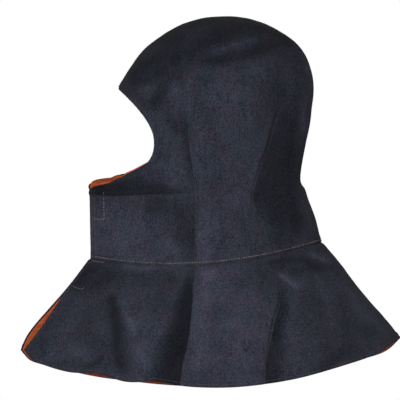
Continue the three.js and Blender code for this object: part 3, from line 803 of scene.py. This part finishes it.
def hood_cloth(side):
    """The hood's outer surface on one side, with its creases, seams and hems."""
    u = rows_by_length(hood, 0.03, LAST_SECTION, side, HOOD_ROWS, SEAM_STEPS, SEAM_STEPS)
    v = even_columns(hood, u, side, HOOD_COLUMNS, EDGE_STEPS)
    base = hood(u[:, None], v, side)
    out = outward(base, side)
    over = arc(base)
    from_edge = over[:, -1:] - over
    down = arc(base.swapaxes(0, 1)).swapaxes(0, 1)
    from_neck = down[-1:, :] - down

    mirrored = base * (1, 0, 0) * side + base * (0, 1, 1)
    creases = LEFT_CREASES if side > 0 else RIGHT_CREASES
    calm = lerp(0.3, 1, ramp(from_edge, 0, 14))
    creased = crease_relief(creases, base) * ramp(over, 0, 26) * calm
    own = wrinkles(base, side, RELIEF_SEED)
    inwards = creased + lerp(wrinkles(mirrored, 1, RELIEF_SEED), own, ramp(over, 0, 26)) * calm
    inwards = inwards * lerp(0.35, 1, ramp(from_neck, 0, 20))
    inwards = inwards + 0.7 * np.exp(-((over / 1.1) ** 2)) + stitch_groove(over, SEAM_STITCH, 0.25)
    inwards = free_edge(inwards, from_edge)
    inwards = inwards + stitch_groove(from_neck, NECK_STITCH, 0.35, 0.8) - 0.3 * (1 - ramp(from_neck, 5, 9))
    inwards = inwards + puckers(over, from_neck, NECK_STITCH, 4.0, 0.22)
    inwards = inwards + puckers(down, from_edge, EDGE_STITCHES[0], 4.0, 0.16)
    points = settle(base, out, inwards, side)
    if side < 0:
        # The right edge of the face opening sits a little behind the left one.
        inside = unit(points[:, -40:-39] - points[:, -1:])
        back = RIGHT_FACE_SETBACK * ramp(u, CHIN_SECTION - 2.3, CHIN_SECTION - 3.3)[:, None]
        points = points + inside * (back * (1 - ramp(from_edge, 0, 30)))[..., None]
    return dict(
        points=points,
        out=out,
        v=v,
        moved=points - base,
        tones=tone_values(points, creases, HOOD_FOLDS if side > 0 else (), side),
        inwards=inwards,
        section=u,
        from_seam=over,
        from_edge=from_edge,
        from_neck=from_neck,
        down=down,
    )


def flap_cloth(side, hood_part):
    """The flap's outer surface on one side. Its top edge is tucked up behind the hood's lower edge."""
    v = even_columns(flap, np.array([0.0, 1.0]), side, FLAP_COLUMNS, EDGE_STEPS)
    u = rows_by_length(flap, 0.0, 1.0, side, FLAP_ROWS, SEAM_STEPS, EDGE_STEPS)
    v = lerp(v[0], v[1], u[:, None])
    base = flap(u[:, None], v, side)
    down = arc(base.swapaxes(0, 1)).swapaxes(0, 1)
    from_hem = down[-1:, :] - down
    over = arc(base)
    from_edge = over[:, -1:] - over

    # The top edge follows the hood's lower edge as that hangs, and fades into the flap's own folds.
    moved = along(v, hood_part["v"][-1], hood_part["moved"][-1])
    base = base + moved * (1 - ramp(down, 0, 24))[..., None]
    out = outward(base, side)
    mirrored = base * (1, 0, 0) * side + base * (0, 1, 1)
    calm = lerp(0.3, 1, ramp(from_edge, 0, 20))
    creased = crease_relief(FLAP_CREASES[side], base) * ramp(over, 0, 24) * ramp(down, 0, 16) * calm
    own = 1.1 * wrinkles(base, side, RELIEF_SEED + 5)
    shared = wrinkles(mirrored, 1, RELIEF_SEED + 5)
    inwards = creased + lerp(shared, own, ramp(over, 0, 24)) * ramp(down, 0, 22) * calm
    inwards = inwards + SEAM_TUCK * (1 - ramp(down, 0.3, 5)) + puckers(over, down, 0, 6.0, 0.3)
    inwards = inwards + 0.6 * np.exp(-((over / 1.1) ** 2)) + stitch_groove(over, SEAM_STITCH, 0.25)
    inwards = free_edge(inwards, from_edge)
    inwards = inwards - hem_profile(from_hem) + stitch_groove(from_hem, HEM_STITCH)
    inwards = inwards + puckers(over, from_hem, HEM_STITCH, 4.0, 0.2)
    points = settle(base, out, inwards, side)

    # Behind the hood's edge it runs on upwards, parallel to the hood.
    rise = unit(hood_part["points"][-6] - hood_part["points"][-1])
    rise = along(v[0], hood_part["v"][-1], rise)
    tucked = [points[0] + rise * lap for lap in (SEAM_LAP, SEAM_LAP / 2)]
    values = tone_values(points, FLAP_CREASES[side], FLAP_EDGES if side > 0 else (), side)
    points = np.concatenate([tucked, points])
    return dict(
        points=points,
        out=extended(out),
        tones={key: extended(grid) for key, grid in values.items()},
        inwards=extended(inwards),
        from_seam=extended(over),
        from_edge=extended(from_edge),
        from_hem=extended(from_hem),
        down=extended(down),
    )


# Meshes


def add_mesh(name, points, quads, material, values=None):
    """A smooth mesh from points in millimetres, with named numbers at its points."""
    mesh = bpy.data.meshes.new(name)
    corners = np.asarray(quads, np.int32).ravel()
    mesh.vertices.add(len(points))
    mesh.vertices.foreach_set("co", (np.asarray(points) * MM).astype(np.float32).ravel())
    mesh.loops.add(len(corners))
    mesh.loops.foreach_set("vertex_index", corners)
    mesh.polygons.add(len(quads))
    mesh.polygons.foreach_set("loop_start", np.arange(0, len(corners), 4, dtype=np.int32))
    mesh.polygons.foreach_set("use_smooth", np.ones(len(quads), bool))
    mesh.update(calc_edges=True)
    for key, numbers in (values or {}).items():
        attribute = mesh.attributes.new(key, "FLOAT", "POINT")
        attribute.data.foreach_set("value", np.asarray(numbers, np.float32).ravel())
    mesh.materials.append(material)
    mesh.validate()
    piece = bpy.data.objects.new(name, mesh)
    bpy.context.scene.collection.objects.link(piece)
    return piece


def shell(name, points, out, depths, side, material, values=None, bulge=(0.5, 0.5, 0.5, 0.0)):
    """A closed layer of cloth between two depths under a grid. Its four edges, in the order top, free edge,
    bottom and seam, are rounded by a bulge that is a share of the thickness."""
    rows, columns = points.shape[:2]
    near, far = (points - out * np.asarray(depth)[..., None] for depth in depths)
    for layer in (near, far):
        layer[..., 0] = np.maximum(layer[..., 0] * side, 0) * side
    ids = np.arange(rows * columns).reshape(rows, columns)
    a, b, c, d = ids[:-1, :-1], ids[:-1, 1:], ids[1:, 1:], ids[1:, :-1]
    count = rows * columns
    quads = [np.stack([a, b, c, d], -1).reshape(-1, 4), np.stack([c, b, a, d], -1).reshape(-1, 4) + count]

    # The rim, from point to point round the grid, with a middle line of its own.
    walks = [
        (ids[0, :-1], points[0, :-1] - points[1, :-1], bulge[0]),
        (ids[:-1, -1], points[:-1, -1] - points[:-1, -2], bulge[1]),
        (ids[-1, :0:-1], points[-1, :0:-1] - points[-2, :0:-1], bulge[2]),
        (ids[:0:-1, 0], points[:0:-1, 0] - points[:0:-1, 1], bulge[3]),
    ]
    border = np.concatenate([walk[0] for walk in walks])
    away = np.concatenate([unit(walk[1]) for walk in walks])
    push = np.concatenate([np.full(len(walk[0]), walk[2]) for walk in walks])
    near_edge, far_edge = near.reshape(-1, 3)[border], far.reshape(-1, 3)[border]
    thickness = np.linalg.norm(near_edge - far_edge, axis=-1)
    middle = (near_edge + far_edge) / 2 + away * (push * thickness)[:, None]
    rim = 2 * count + np.arange(len(border))
    following = np.roll(np.arange(len(border)), -1)
    quads.append(np.stack([border[following], border, rim, rim[following]], -1))
    quads.append(np.stack([rim[following], rim, border + count, border[following] + count], -1))
    quads = np.concatenate(quads)
    if side < 0:
        quads = quads[:, ::-1]
    everything = np.concatenate([near.reshape(-1, 3), far.reshape(-1, 3), middle])
    carried = {}
    for key, grid in (values or {}).items():
        flat = grid.ravel()
        carried[key] = np.concatenate([flat, flat, flat[border]])
    return add_mesh(name, everything, quads, material, carried)


def line_on(cloth, from_edge_at=None, from_seam_at=None, row_from=0, row_to=None):
    """The line on a cloth that runs down it at one distance from its free edge or from its seam."""
    key, at = ("from_edge", from_edge_at) if from_edge_at is not None else ("from_seam", from_seam_at)
    rows = range(row_from, row_to or len(cloth["points"]))
    line, out = [], []
    for i in rows:
        order = np.argsort(cloth[key][i])
        away = cloth[key][i][order]
        if away[-1] < 2.2 * at:
            continue
        line.append([np.interp(at, away, cloth["points"][i][order, k]) for k in range(3)])
        out.append([np.interp(at, away, cloth["out"][i][order, k]) for k in range(3)])
    return np.array(line), np.array(out)


def line_across(cloth, key, at, margin=1.0):
    """The line on a cloth that runs across it at one distance from its neck edge or its hem."""
    line, out = [], []
    for j in range(cloth["points"].shape[1]):
        away = cloth[key][:, j]
        order = np.argsort(away)
        line.append([np.interp(at, away[order], cloth["points"][order, j, k]) for k in range(3)])
        out.append([np.interp(at, away[order], cloth["out"][order, j, k]) for k in range(3)])
    line, out = np.array(line), np.array(out)
    walked = arc(line)
    keep = (walked > margin) & (walked < walked[-1] - margin)
    return line[keep], out[keep]


def resample(line, out, step):
    """Points at even steps along a line, with the way out of the cloth there."""
    walked = arc(line)
    count = max(2, int(walked[-1] / step) + 1)
    at = np.linspace(0, walked[-1], count)
    return along(at, walked, line), along(at, walked, out)


def stitches(name, lines, material, radius=STITCH_RADIUS, seed=STITCH_SEED):
    """Rows of short thread stitches, each dipping into the cloth at both ends, as one mesh."""
    rng = np.random.default_rng(seed)
    points, quads, tints = [], [], []
    base = 0
    for line, out in lines:
        at, up = resample(line, out, STITCH_PITCH)
        for k in range(len(at) - 1):
            step = at[k + 1] - at[k]
            length = np.linalg.norm(step)
            if length < 0.5 * STITCH_PITCH:
                continue
            forward = step / length
            normal = up[k] / np.linalg.norm(up[k])
            across = np.cross(forward, normal)
            skew = rng.normal(0, 0.06)
            start = at[k] + forward * (length - STITCH_LENGTH) / 2 + across * rng.normal(0, 0.07)
            tints.append(np.full(len(STITCH_RINGS) * STITCH_SIDES, rng.uniform(0, 1)))
            for share, thick, lift in STITCH_RINGS:
                centre = start + forward * share * STITCH_LENGTH + normal * lift * radius * 2
                centre = centre + across * skew * (share - 0.5) * STITCH_LENGTH
                turn = np.linspace(0, 2 * math.pi, STITCH_SIDES, endpoint=False)
                ring = np.cos(turn)[:, None] * across + np.sin(turn)[:, None] * normal
                points.append(centre + ring * radius * thick)
            for ring in range(len(STITCH_RINGS) - 1):
                low = base + ring * STITCH_SIDES
                for n in range(STITCH_SIDES):
                    m = (n + 1) % STITCH_SIDES
                    quads.append((low + n, low + m, low + STITCH_SIDES + m, low + STITCH_SIDES + n))
            base += len(STITCH_RINGS) * STITCH_SIDES
    return add_mesh(name, np.concatenate(points), quads, material, dict(tint=np.concatenate(tints)))


# Materials


def new_material(name):
    material = bpy.data.materials.new(name)
    material.use_nodes = True
    tree = material.node_tree
    shader = tree.nodes["Principled BSDF"]
    return material, tree, shader


def node(tree, kind, inputs=None, **settings):
    made = tree.nodes.new(kind)
    for key, value in settings.items():
        setattr(made, key, value)
    for key, value in (inputs or {}).items():
        if isinstance(value, bpy.types.NodeSocket):
            tree.links.new(value, made.inputs[key])
        else:
            made.inputs[key].default_value = value
    return made


def scaled(tree, scale):
    """Object coordinates stretched by a scale for each axis, in repeats per metre."""
    place = node(tree, "ShaderNodeTexCoord").outputs["Object"]
    return node(tree, "ShaderNodeMapping", {"Vector": place, "Scale": scale}).outputs["Vector"]


def noise(tree, scale, detail, roughness):
    inputs = {"Vector": scaled(tree, scale), "Scale": 1.0, "Detail": detail, "Roughness": roughness}
    return node(tree, "ShaderNodeTexNoise", inputs).outputs["Fac"]


def maths(tree, operation, a, b=0.5, clamp=False):
    return node(tree, "ShaderNodeMath", {0: a, 1: b}, operation=operation, use_clamp=clamp).outputs[0]


def spread_to(tree, value, low, high, to_low=0.0, to_high=1.0):
    inputs = {"Value": value, "From Min": low, "From Max": high, "To Min": to_low, "To Max": to_high}
    return node(tree, "ShaderNodeMapRange", inputs).outputs["Result"]


def mixed(tree, factor, a, b):
    return node(tree, "ShaderNodeMix", {0: factor, 6: a, 7: b}, data_type="RGBA").outputs[2]


def attribute(tree, name):
    return node(tree, "ShaderNodeAttribute", attribute_name=name).outputs["Fac"]


def bell(tree, value, middle, reach):
    """1 at the middle and 0 from a reach away."""
    off = maths(tree, "ABSOLUTE", maths(tree, "SUBTRACT", value, middle), 0.0)
    return maths(tree, "SUBTRACT", 1.0, maths(tree, "DIVIDE", off, reach, clamp=True))


def denim_material():
    """Indigo warp over a paler weft: streaks, specks, a rib and uneven dye, under the charted tones of painted
    shade and painted light.
    """
    material, tree, shader = new_material("denim")
    streaks = noise(tree, (860, 860, 400), 2.0, 0.7)
    slubs = noise(tree, (300, 300, 70), 2.0, 0.5)
    specks = noise(tree, (860, 860, 700), 1.0, 0.6)
    blotches = noise(tree, (40, 40, 34), 4.0, 0.65)
    tint = noise(tree, (44, 52, 38), 2.0, 0.5)
    rib_place = scaled(tree, (0.0, 1.0, 1.0))
    turn = {"Vector": rib_place, "Rotation": (math.radians(32), 0, 0)}
    turned = node(tree, "ShaderNodeMapping", turn).outputs[0]
    rib_inputs = {"Vector": turned, "Scale": 260.0, "Distortion": 1.5, "Detail": 2.0, "Detail Scale": 3.0}
    rib = node(tree, "ShaderNodeTexWave", rib_inputs, bands_direction="Y").outputs["Fac"]
    weave = maths(tree, "MULTIPLY", spread_to(tree, streaks, 0.3, 0.7), 0.5)
    layers = ((slubs, 0.35, 0.65, 0.1), (specks, 0.32, 0.68, 0.34), (rib, 0, 1, 0.06))
    for layer, low, high, share in layers:
        weave = maths(tree, "ADD", weave, maths(tree, "MULTIPLY", spread_to(tree, layer, low, high), share))
    uneven = maths(tree, "ADD", weave, spread_to(tree, blotches, 0.3, 0.7, -0.1, 0.1))
    cloth = mixed(tree, spread_to(tree, uneven, 0.16, 0.84), DENIM_DARK, DENIM_PALE)
    tinted = mixed(tree, spread_to(tree, tint, 0.35, 0.65), *DENIM_TINTS)
    cloth = node(tree, "ShaderNodeVectorMath", {0: cloth, 1: tinted}, operation="MULTIPLY").outputs[0]
    # The tone and the sharp folds' fields are painted shade and painted light, with a painted highlight just
    # across each fold's line.
    tone = attribute(tree, "tone")
    for n in range(FOLD_SLOTS):
        away, shade = attribute(tree, f"fold_{n}"), attribute(tree, f"shade_{n}")
        step = spread_to(tree, away, -0.4, 0.7)
        line = bell(tree, away, 0.9, 1.6)
        lip = bell(tree, away, -2.4, 1.8)
        line = maths(tree, "MULTIPLY", line, FOLD_LINE)
        lip = maths(tree, "MULTIPLY", lip, FOLD_LIP)
        share = maths(tree, "ADD", line, lip)
        tone = maths(tree, "ADD", tone, maths(tree, "MULTIPLY", shade, maths(tree, "ADD", step, share)))
    scale = {0: cloth, "Scale": maths(tree, "POWER", 2.0, tone)}
    toned = node(tree, "ShaderNodeVectorMath", scale, operation="SCALE").outputs[0]
    tree.links.new(toned, shader.inputs["Base Color"])
    bump = node(tree, "ShaderNodeBump", {"Height": weave, "Strength": 0.6, "Distance": 0.0006})
    tree.links.new(bump.outputs["Normal"], shader.inputs["Normal"])
    shader.inputs["Roughness"].default_value = 0.94
    shader.inputs["Specular IOR Level"].default_value = 0.15
    shader.inputs["Sheen Weight"].default_value = 0.05
    shader.inputs["Sheen Roughness"].default_value = 0.6
    return material


def lining_material():
    """Orange plain-weave cotton, a little faded."""
    material, tree, shader = new_material("lining")
    weave = noise(tree, (1300, 1300, 1300), 2.0, 0.6)
    faded = noise(tree, (90, 30, 260), 3.0, 0.65)
    factor = maths(tree, "ADD", maths(tree, "MULTIPLY", weave, 0.35), maths(tree, "MULTIPLY", faded, 0.65))
    colour = mixed(tree, spread_to(tree, factor, 0.3, 0.7), (0.55, 0.065, 0.014, 1), (0.92, 0.22, 0.065, 1))
    tree.links.new(colour, shader.inputs["Base Color"])
    bump = node(tree, "ShaderNodeBump", {"Height": factor, "Strength": 0.4, "Distance": 0.0004})
    tree.links.new(bump.outputs["Normal"], shader.inputs["Normal"])
    shader.inputs["Roughness"].default_value = 0.85
    shader.inputs["Specular IOR Level"].default_value = 0.25
    shader.inputs["Sheen Weight"].default_value = 0.1
    return material


def thread_material(name, dark, light):
    """Sewing thread whose stitches vary between two colours."""
    material, tree, shader = new_material(name)
    drift = noise(tree, (24, 24, 24), 2.0, 0.5)
    own = maths(tree, "MULTIPLY", attribute(tree, "tint"), 0.45)
    factor = maths(tree, "ADD", own, maths(tree, "MULTIPLY", drift, 0.55))
    tree.links.new(mixed(tree, spread_to(tree, factor, 0.25, 0.75), dark, light), shader.inputs["Base Color"])
    shader.inputs["Roughness"].default_value = 0.6
    shader.inputs["Specular IOR Level"].default_value = 0.4
    return material


def nylon_material(name, colour, roughness):
    material, tree, shader = new_material(name)
    fuzz = noise(tree, (1600, 1600, 1600), 3.0, 0.7)
    pale = tuple(min(1.0, 1.9 * k) for k in colour[:3]) + (1,)
    tree.links.new(mixed(tree, fuzz, colour, pale), shader.inputs["Base Color"])
    bump = node(tree, "ShaderNodeBump", {"Height": fuzz, "Strength": 0.6, "Distance": 0.0005})
    tree.links.new(bump.outputs["Normal"], shader.inputs["Normal"])
    shader.inputs["Roughness"].default_value = roughness
    return material


denim = denim_material()
lining = lining_material()
orange_thread = thread_material("orange_thread", (0.25, 0.125, 0.08, 1), (0.50, 0.40, 0.32, 1))
dull_thread = thread_material("dull_thread", (0.085, 0.062, 0.066, 1), (0.17, 0.125, 0.12, 1))
pale_thread = thread_material("pale_thread", (0.34, 0.27, 0.28, 1), (0.52, 0.44, 0.45, 1))
dark_thread = thread_material("dark_thread", (0.020, 0.022, 0.034, 1), (0.045, 0.047, 0.062, 1))
nylons = dict(
    hook=nylon_material("hook_nylon", (0.012, 0.012, 0.014, 1), 0.4),
    loop=nylon_material("loop_nylon", (0.016, 0.016, 0.019, 1), 0.95),
)


# Pieces


def lining_grid(cloth, trim_rows):
    """Every other line of a cloth's grid, with the free edge drawn in and some rows left off at each end."""
    points = cloth["points"].copy()
    edge, beside = points[:, -1], points[:, -4]
    points[:, -1] = edge + unit(beside - edge) * LINING_INSET
    last_column = points.shape[1] - 1
    keep = sorted(set(range(0, last_column - 3, LINING_STEP)) | {last_column - 3, last_column})
    first, last = trim_rows
    rows = sorted(set(range(first, points.shape[0] - last, LINING_STEP)) | {points.shape[0] - last - 1})
    kept = np.ix_(rows, keep)
    return points[kept], cloth["out"][kept], kept


def slack(inwards, reach=4):
    """How much deeper the lining lies than the denim, so that it spans sharp creases without a touch."""
    rows, columns = inwards.shape
    padded = np.pad(inwards, reach, mode="edge")
    deepest = inwards.copy()
    for i in range(2 * reach + 1):
        for j in range(2 * reach + 1):
            deepest = np.maximum(deepest, padded[i : i + rows, j : j + columns])
    return deepest - inwards


def rumple(points, seed, depth=0.5):
    """The lining's own rumples, only inwards, so that it stays clear of the denim."""
    return depth * (1 + billow(points, 14, seed)) / 2 + 0.6 * depth * (1 + billow(points, 30, seed + 1)) / 2


def bristles(grid, out, kind, rng):
    """Small hooks or loops standing on a tape, each a bent strip of four-sided rings."""
    shape = BRISTLES[kind]
    profile, half_width, pitch = shape["profile"], shape["half_width"], shape["pitch"]
    rows = max(2, int(np.linalg.norm(np.diff(grid[:, 0], axis=0), axis=-1).sum() / pitch))
    columns = max(2, int(np.linalg.norm(np.diff(grid[0], axis=0), axis=-1).sum() / pitch))
    points, quads = [], []
    base = 0
    for i in range(rows):
        for j in range(columns):
            r = (i + 0.5 + rng.uniform(-0.2, 0.2)) / rows * (grid.shape[0] - 1)
            c = (j + 0.5 + rng.uniform(-0.2, 0.2)) / columns * (grid.shape[1] - 1)
            low_r, low_c = int(r), int(c)
            corner = grid[low_r, low_c]
            down = grid[low_r + 1, low_c] - corner
            place = corner + down * (r - low_r) + (grid[low_r, low_c + 1] - corner) * (c - low_c)
            normal = out[low_r, low_c]
            if shape["aligned"]:
                heading = rng.choice((0.0, math.pi)) + rng.normal(0, 0.2)
            else:
                heading = rng.uniform(0, 2 * math.pi)
            down = down / np.linalg.norm(down)
            lean = math.cos(heading) * down + math.sin(heading) * np.cross(normal, down)
            wide = np.cross(normal, lean) * half_width
            for forward, up in profile:
                centre = place + normal * up * BRISTLE_HEIGHT + lean * forward * BRISTLE_HEIGHT
                thick = normal * half_width if up > 0.9 else lean * half_width
                near, far = centre - thick, centre + thick
                points.append(np.array([near - wide, near + wide, far + wide, far - wide]))
            for k in range(len(profile) - 1):
                low = base + 4 * k
                for n in range(4):
                    m = (n + 1) % 4
                    quads.append((low + n, low + m, low + 4 + m, low + 4 + n))
            last = base + 4 * (len(profile) - 1)
            quads.append((base + 3, base + 2, base + 1, base))
            quads.append((last, last + 1, last + 2, last + 3))
            base = last + 4
    return np.concatenate(points), quads


def hood_lining_shell(word, side, hood_part):
    points, out, kept = lining_grid(hood_part, (0, 4))
    lap = LINING_LAP * (1 - ramp(hood_part["from_neck"][kept], 4, 12))
    own = rumple(points, LINING_SEED + side, 0.5) * ramp(hood_part["from_edge"][kept], 22, 40)
    own = own + slack(hood_part["inwards"])[kept]
    depths = (DENIM + LAYER_GAP + lap + own, WALL + lap + own)
    return shell(f"cotton_hood_{word}", points, out, depths, side, lining)


def flap_lining_shell(word, side, flap_part):
    points, out, kept = lining_grid(flap_part, (1, 0))
    points[-1] = points[-1] + unit(points[-4] - points[-1]) * LINING_INSET
    down = flap_part["down"][kept]
    away = np.minimum(flap_part["from_edge"], flap_part["from_hem"])[kept]
    own = rumple(points, LINING_SEED + 7 + side, 0.6) * ramp(away, 24, 42) * ramp(down, 8, 20)
    own = own + slack(flap_part["inwards"])[kept] * ramp(down, 2, 9)
    depths = (DENIM + LAYER_GAP + own, WALL + own)
    return shell(f"cotton_flap_{word}", points, out, depths, side, lining)


def add_tapes(side, hood_part, flap_part):
    """Hook tapes inside the left front edges, and loop tapes outside the right ones."""
    kind, depth = ("loop", -LAYER_GAP - TAPE) if side < 0 else ("hook", WALL + LAYER_GAP + TAPE_CLEARANCE)
    face_depth, way = (depth, 1) if side < 0 else (depth + TAPE, -1)
    nylon = nylons[kind]
    rng = np.random.default_rng(HOOK_SEED + side)
    for place, cloth, start, length, inset in tape_places(hood_part, flap_part):
        grid, out = patch(cloth, start, TAPE_MARGIN, length, inset, inset + TAPE_WIDTH)
        base = shell(f"{kind}_tape_{place}_base", grid, out, (depth, depth + TAPE), side, nylon)
        face = grid - out * face_depth
        shapes, quads = bristles(face[1:-1, 1:-1], out[1:-1, 1:-1] * way, kind, rng)
        pile = add_mesh(f"{kind}_tape_{place}_pile", shapes, quads, nylon)
        for piece in (base, pile):
            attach(piece, "root")
            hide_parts(f"{kind}_tape_{place}")


def add_stitching(word, hood_part, flap_part):
    chin = chin_row(hood_part)
    plain, sunk = tape_outlines(hood_part, flap_part)
    orange_rows = [line_across(hood_part, "from_neck", NECK_STITCH)]
    dull_rows = [line_on(hood_part, from_edge_at=at, row_from=chin + 1) for at in EDGE_STITCHES]
    dull_rows.append(line_on(flap_part, from_edge_at=EDGE_STITCHES[0], row_from=5))
    dull_rows.append(line_across(flap_part, "from_hem", HEM_STITCH, 3.4))
    dark_rows = [line_on(hood_part, from_edge_at=at, row_to=chin) for at in EDGE_STITCHES]
    dark_rows.append(line_on(hood_part, from_seam_at=SEAM_STITCH))
    dark_rows.append(line_on(flap_part, from_seam_at=SEAM_STITCH, row_from=5))
    threads = (
        stitches(f"seam_stitching_{word}", orange_rows, orange_thread),
        stitches(f"hem_stitching_{word}", dull_rows, dull_thread),
        stitches(f"edge_stitching_{word}", dark_rows + sunk, dark_thread, 0.26, STITCH_SEED + 1),
        stitches(f"tape_stitching_{word}", plain, pale_thread, 0.28),
    )
    for piece in threads:
        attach(piece, "root")


def dress_side(word, side):
    hood_part = hood_cloth(side)
    flap_part = flap_cloth(side, hood_part)
    hood_panel, flap_panel = (
        shell(f"denim_{place}_{word}", part["points"], part["out"], (0, DENIM), side, denim, part["tones"])
        for place, part in (("hood", hood_part), ("flap", flap_part))
    )
    hood_lining = hood_lining_shell(word, side, hood_part)
    flap_lining = flap_lining_shell(word, side, flap_part)
    add_tapes(side, hood_part, flap_part)
    add_stitching(word, hood_part, flap_part)
    for piece, cad, name in (
        (hood_panel, f"hood_panel_{word}", "denim"),
        (flap_panel, f"flap_panel_{word}", "denim"),
        (hood_lining, f"hood_lining_{word}", "lining"),
        (flap_lining, f"flap_lining_{word}", "lining"),
    ):
        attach(piece, "root")
        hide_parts(cad)


def chin_row(hood_part):
    """The row of the hood's grid whose free edge is the chin corner."""
    return int(np.argmin(np.abs(hood_part["section"] - CHIN_SECTION)))


def tape_places(hood_part, flap_part):
    """The two tapes of a side: the cloth, the row that they start below, their length and their inset."""
    return (
        ("upper", hood_part, chin_row(hood_part), UPPER_TAPE_LENGTH, TAPE_MARGIN),
        ("lower", flap_part, 2, LOWER_TAPE_LENGTH, LOWER_TAPE_INSET),
    )


def tape_outlines(hood_part, flap_part):
    """The rows of stitches that hold the tapes on the denim: the plain ones, and those that sink in."""
    plain, sunk = [], []
    for place, cloth, start, length, inset in tape_places(hood_part, flap_part):
        corners = (inset + 1, inset + TAPE_WIDTH - 1)
        grid, out = patch(cloth, start, TAPE_MARGIN + 1, length - 2, *corners, rows=40, columns=24)
        plain.append((grid[-1], out[-1]))
        if place == "upper":
            plain.append((grid[:, 0], out[:, 0]))
        else:
            plain += [(grid[0], out[0]), (grid[-5:, 0], out[-5:, 0])]
            sunk.append((grid[:-5, 0], out[:-5, 0]))
        sunk.append((grid[:, -1], out[:, -1]))
    return plain, sunk


def patch(cloth, start_row, skip, length, near, far, rows=28, columns=16):
    """A small grid on a cloth beside its free edge, from a row and a distance past it down that edge."""
    edge_down = arc(cloth["points"][:, -1])
    start = edge_down[start_row] + skip
    at_rows = np.interp(np.linspace(start, start + length, rows), edge_down, np.arange(len(edge_down)))
    grid, out = np.zeros((rows, columns, 3)), np.zeros((rows, columns, 3))
    away = np.linspace(far, near, columns)
    for i, at in enumerate(at_rows):
        low = min(int(at), len(edge_down) - 2)
        k = at - low
        edge = lerp(cloth["from_edge"][low], cloth["from_edge"][low + 1], k)
        for target, key in ((grid, "points"), (out, "out")):
            row = lerp(cloth[key][low], cloth[key][low + 1], k)
            for axis in range(3):
                target[i, :, axis] = np.interp(away, edge[::-1], row[::-1, axis])
    return grid, unit(out)


for word, side in (("left", 1), ("right", -1)):
    dress_side(word, side)


# Surroundings

def add_camera():
    data = bpy.data.cameras.new("camera")
    data.sensor_width = SENSOR
    data.lens = SENSOR * CAMERA_DISTANCE / PHOTO_WIDTH
    data.clip_end = 50
    camera = bpy.data.objects.new("camera", data)
    bpy.context.scene.collection.objects.link(camera)
    x, y, z = PHOTO_CENTRE
    reach = CAMERA_DISTANCE * math.cos(CAMERA_HEIGHT_ANGLE)
    rise = CAMERA_DISTANCE * math.sin(CAMERA_HEIGHT_ANGLE)
    camera.location = (MM * (x + reach), MM * y, MM * (z + rise))
    camera.rotation_euler = (math.pi / 2 - CAMERA_HEIGHT_ANGLE, 0, math.pi / 2)
    bpy.context.scene.camera = camera


def add_light(name, azimuth, elevation, distance, size, watts):
    """A square softbox. Azimuth 0 is at +X, and goes round towards -Y."""
    data = bpy.data.lights.new(name, "AREA")
    data.size = size
    data.energy = watts
    light = bpy.data.objects.new(name, data)
    bpy.context.scene.collection.objects.link(light)
    turn, rise = math.radians(azimuth), math.radians(elevation)
    centre = np.array(PHOTO_CENTRE) * MM
    way = np.array([math.cos(turn) * math.cos(rise), -math.sin(turn) * math.cos(rise), math.sin(rise)])
    light.location = centre + way * distance
    light.rotation_euler = (math.pi / 2 - rise, 0, math.pi / 2 - turn)
    light.visible_camera = False


def add_floor():
    mesh = bpy.data.meshes.new("floor")
    turns = np.linspace(0, 2 * math.pi, 96, endpoint=False)
    ring = [(1.3 * math.cos(a), 1.3 * math.sin(a), FLOOR_HEIGHT) for a in turns]
    mesh.from_pydata(ring, [], [tuple(range(len(ring)))])
    material, _, shader = new_material("floor")
    shader.inputs["Base Color"].default_value = (0.82, 0.82, 0.82, 1)
    shader.inputs["Roughness"].default_value = 0.9
    mesh.materials.append(material)
    floor = bpy.data.objects.new("floor", mesh)
    bpy.context.scene.collection.objects.link(floor)


def light_world():
    """White behind the cap as the camera sees it, and dim grey light from all round."""
    world = bpy.data.worlds.new("world")
    bpy.context.scene.world = world
    world.use_nodes = True
    tree = world.node_tree
    tree.nodes.clear()
    seen = node(tree, "ShaderNodeLightPath").outputs["Is Camera Ray"]
    ambient = node(tree, "ShaderNodeBackground", {"Color": (0.95, 0.97, 1, 1), "Strength": 0.07}).outputs[0]
    white = node(tree, "ShaderNodeBackground", {"Color": (1, 1, 1, 1), "Strength": 1.0}).outputs[0]
    both = node(tree, "ShaderNodeMixShader", {0: seen, 1: ambient, 2: white}).outputs[0]
    output = tree.nodes.new("ShaderNodeOutputWorld")
    tree.links.new(both, output.inputs["Surface"])


add_camera()
add_light("key", 12, 4, 2.4, 0.7, 29)
add_light("back", 190, 15, 2.6, 1.2, 18)
add_light("rear side", 292, 8, 2.4, 1.0, 4)
add_light("bounce", 10, -38, 2.0, 1.2, 6)
add_floor()
light_world()
bpy.context.scene.view_settings.view_transform = "Standard"
bpy.context.scene.view_settings.look = "None"
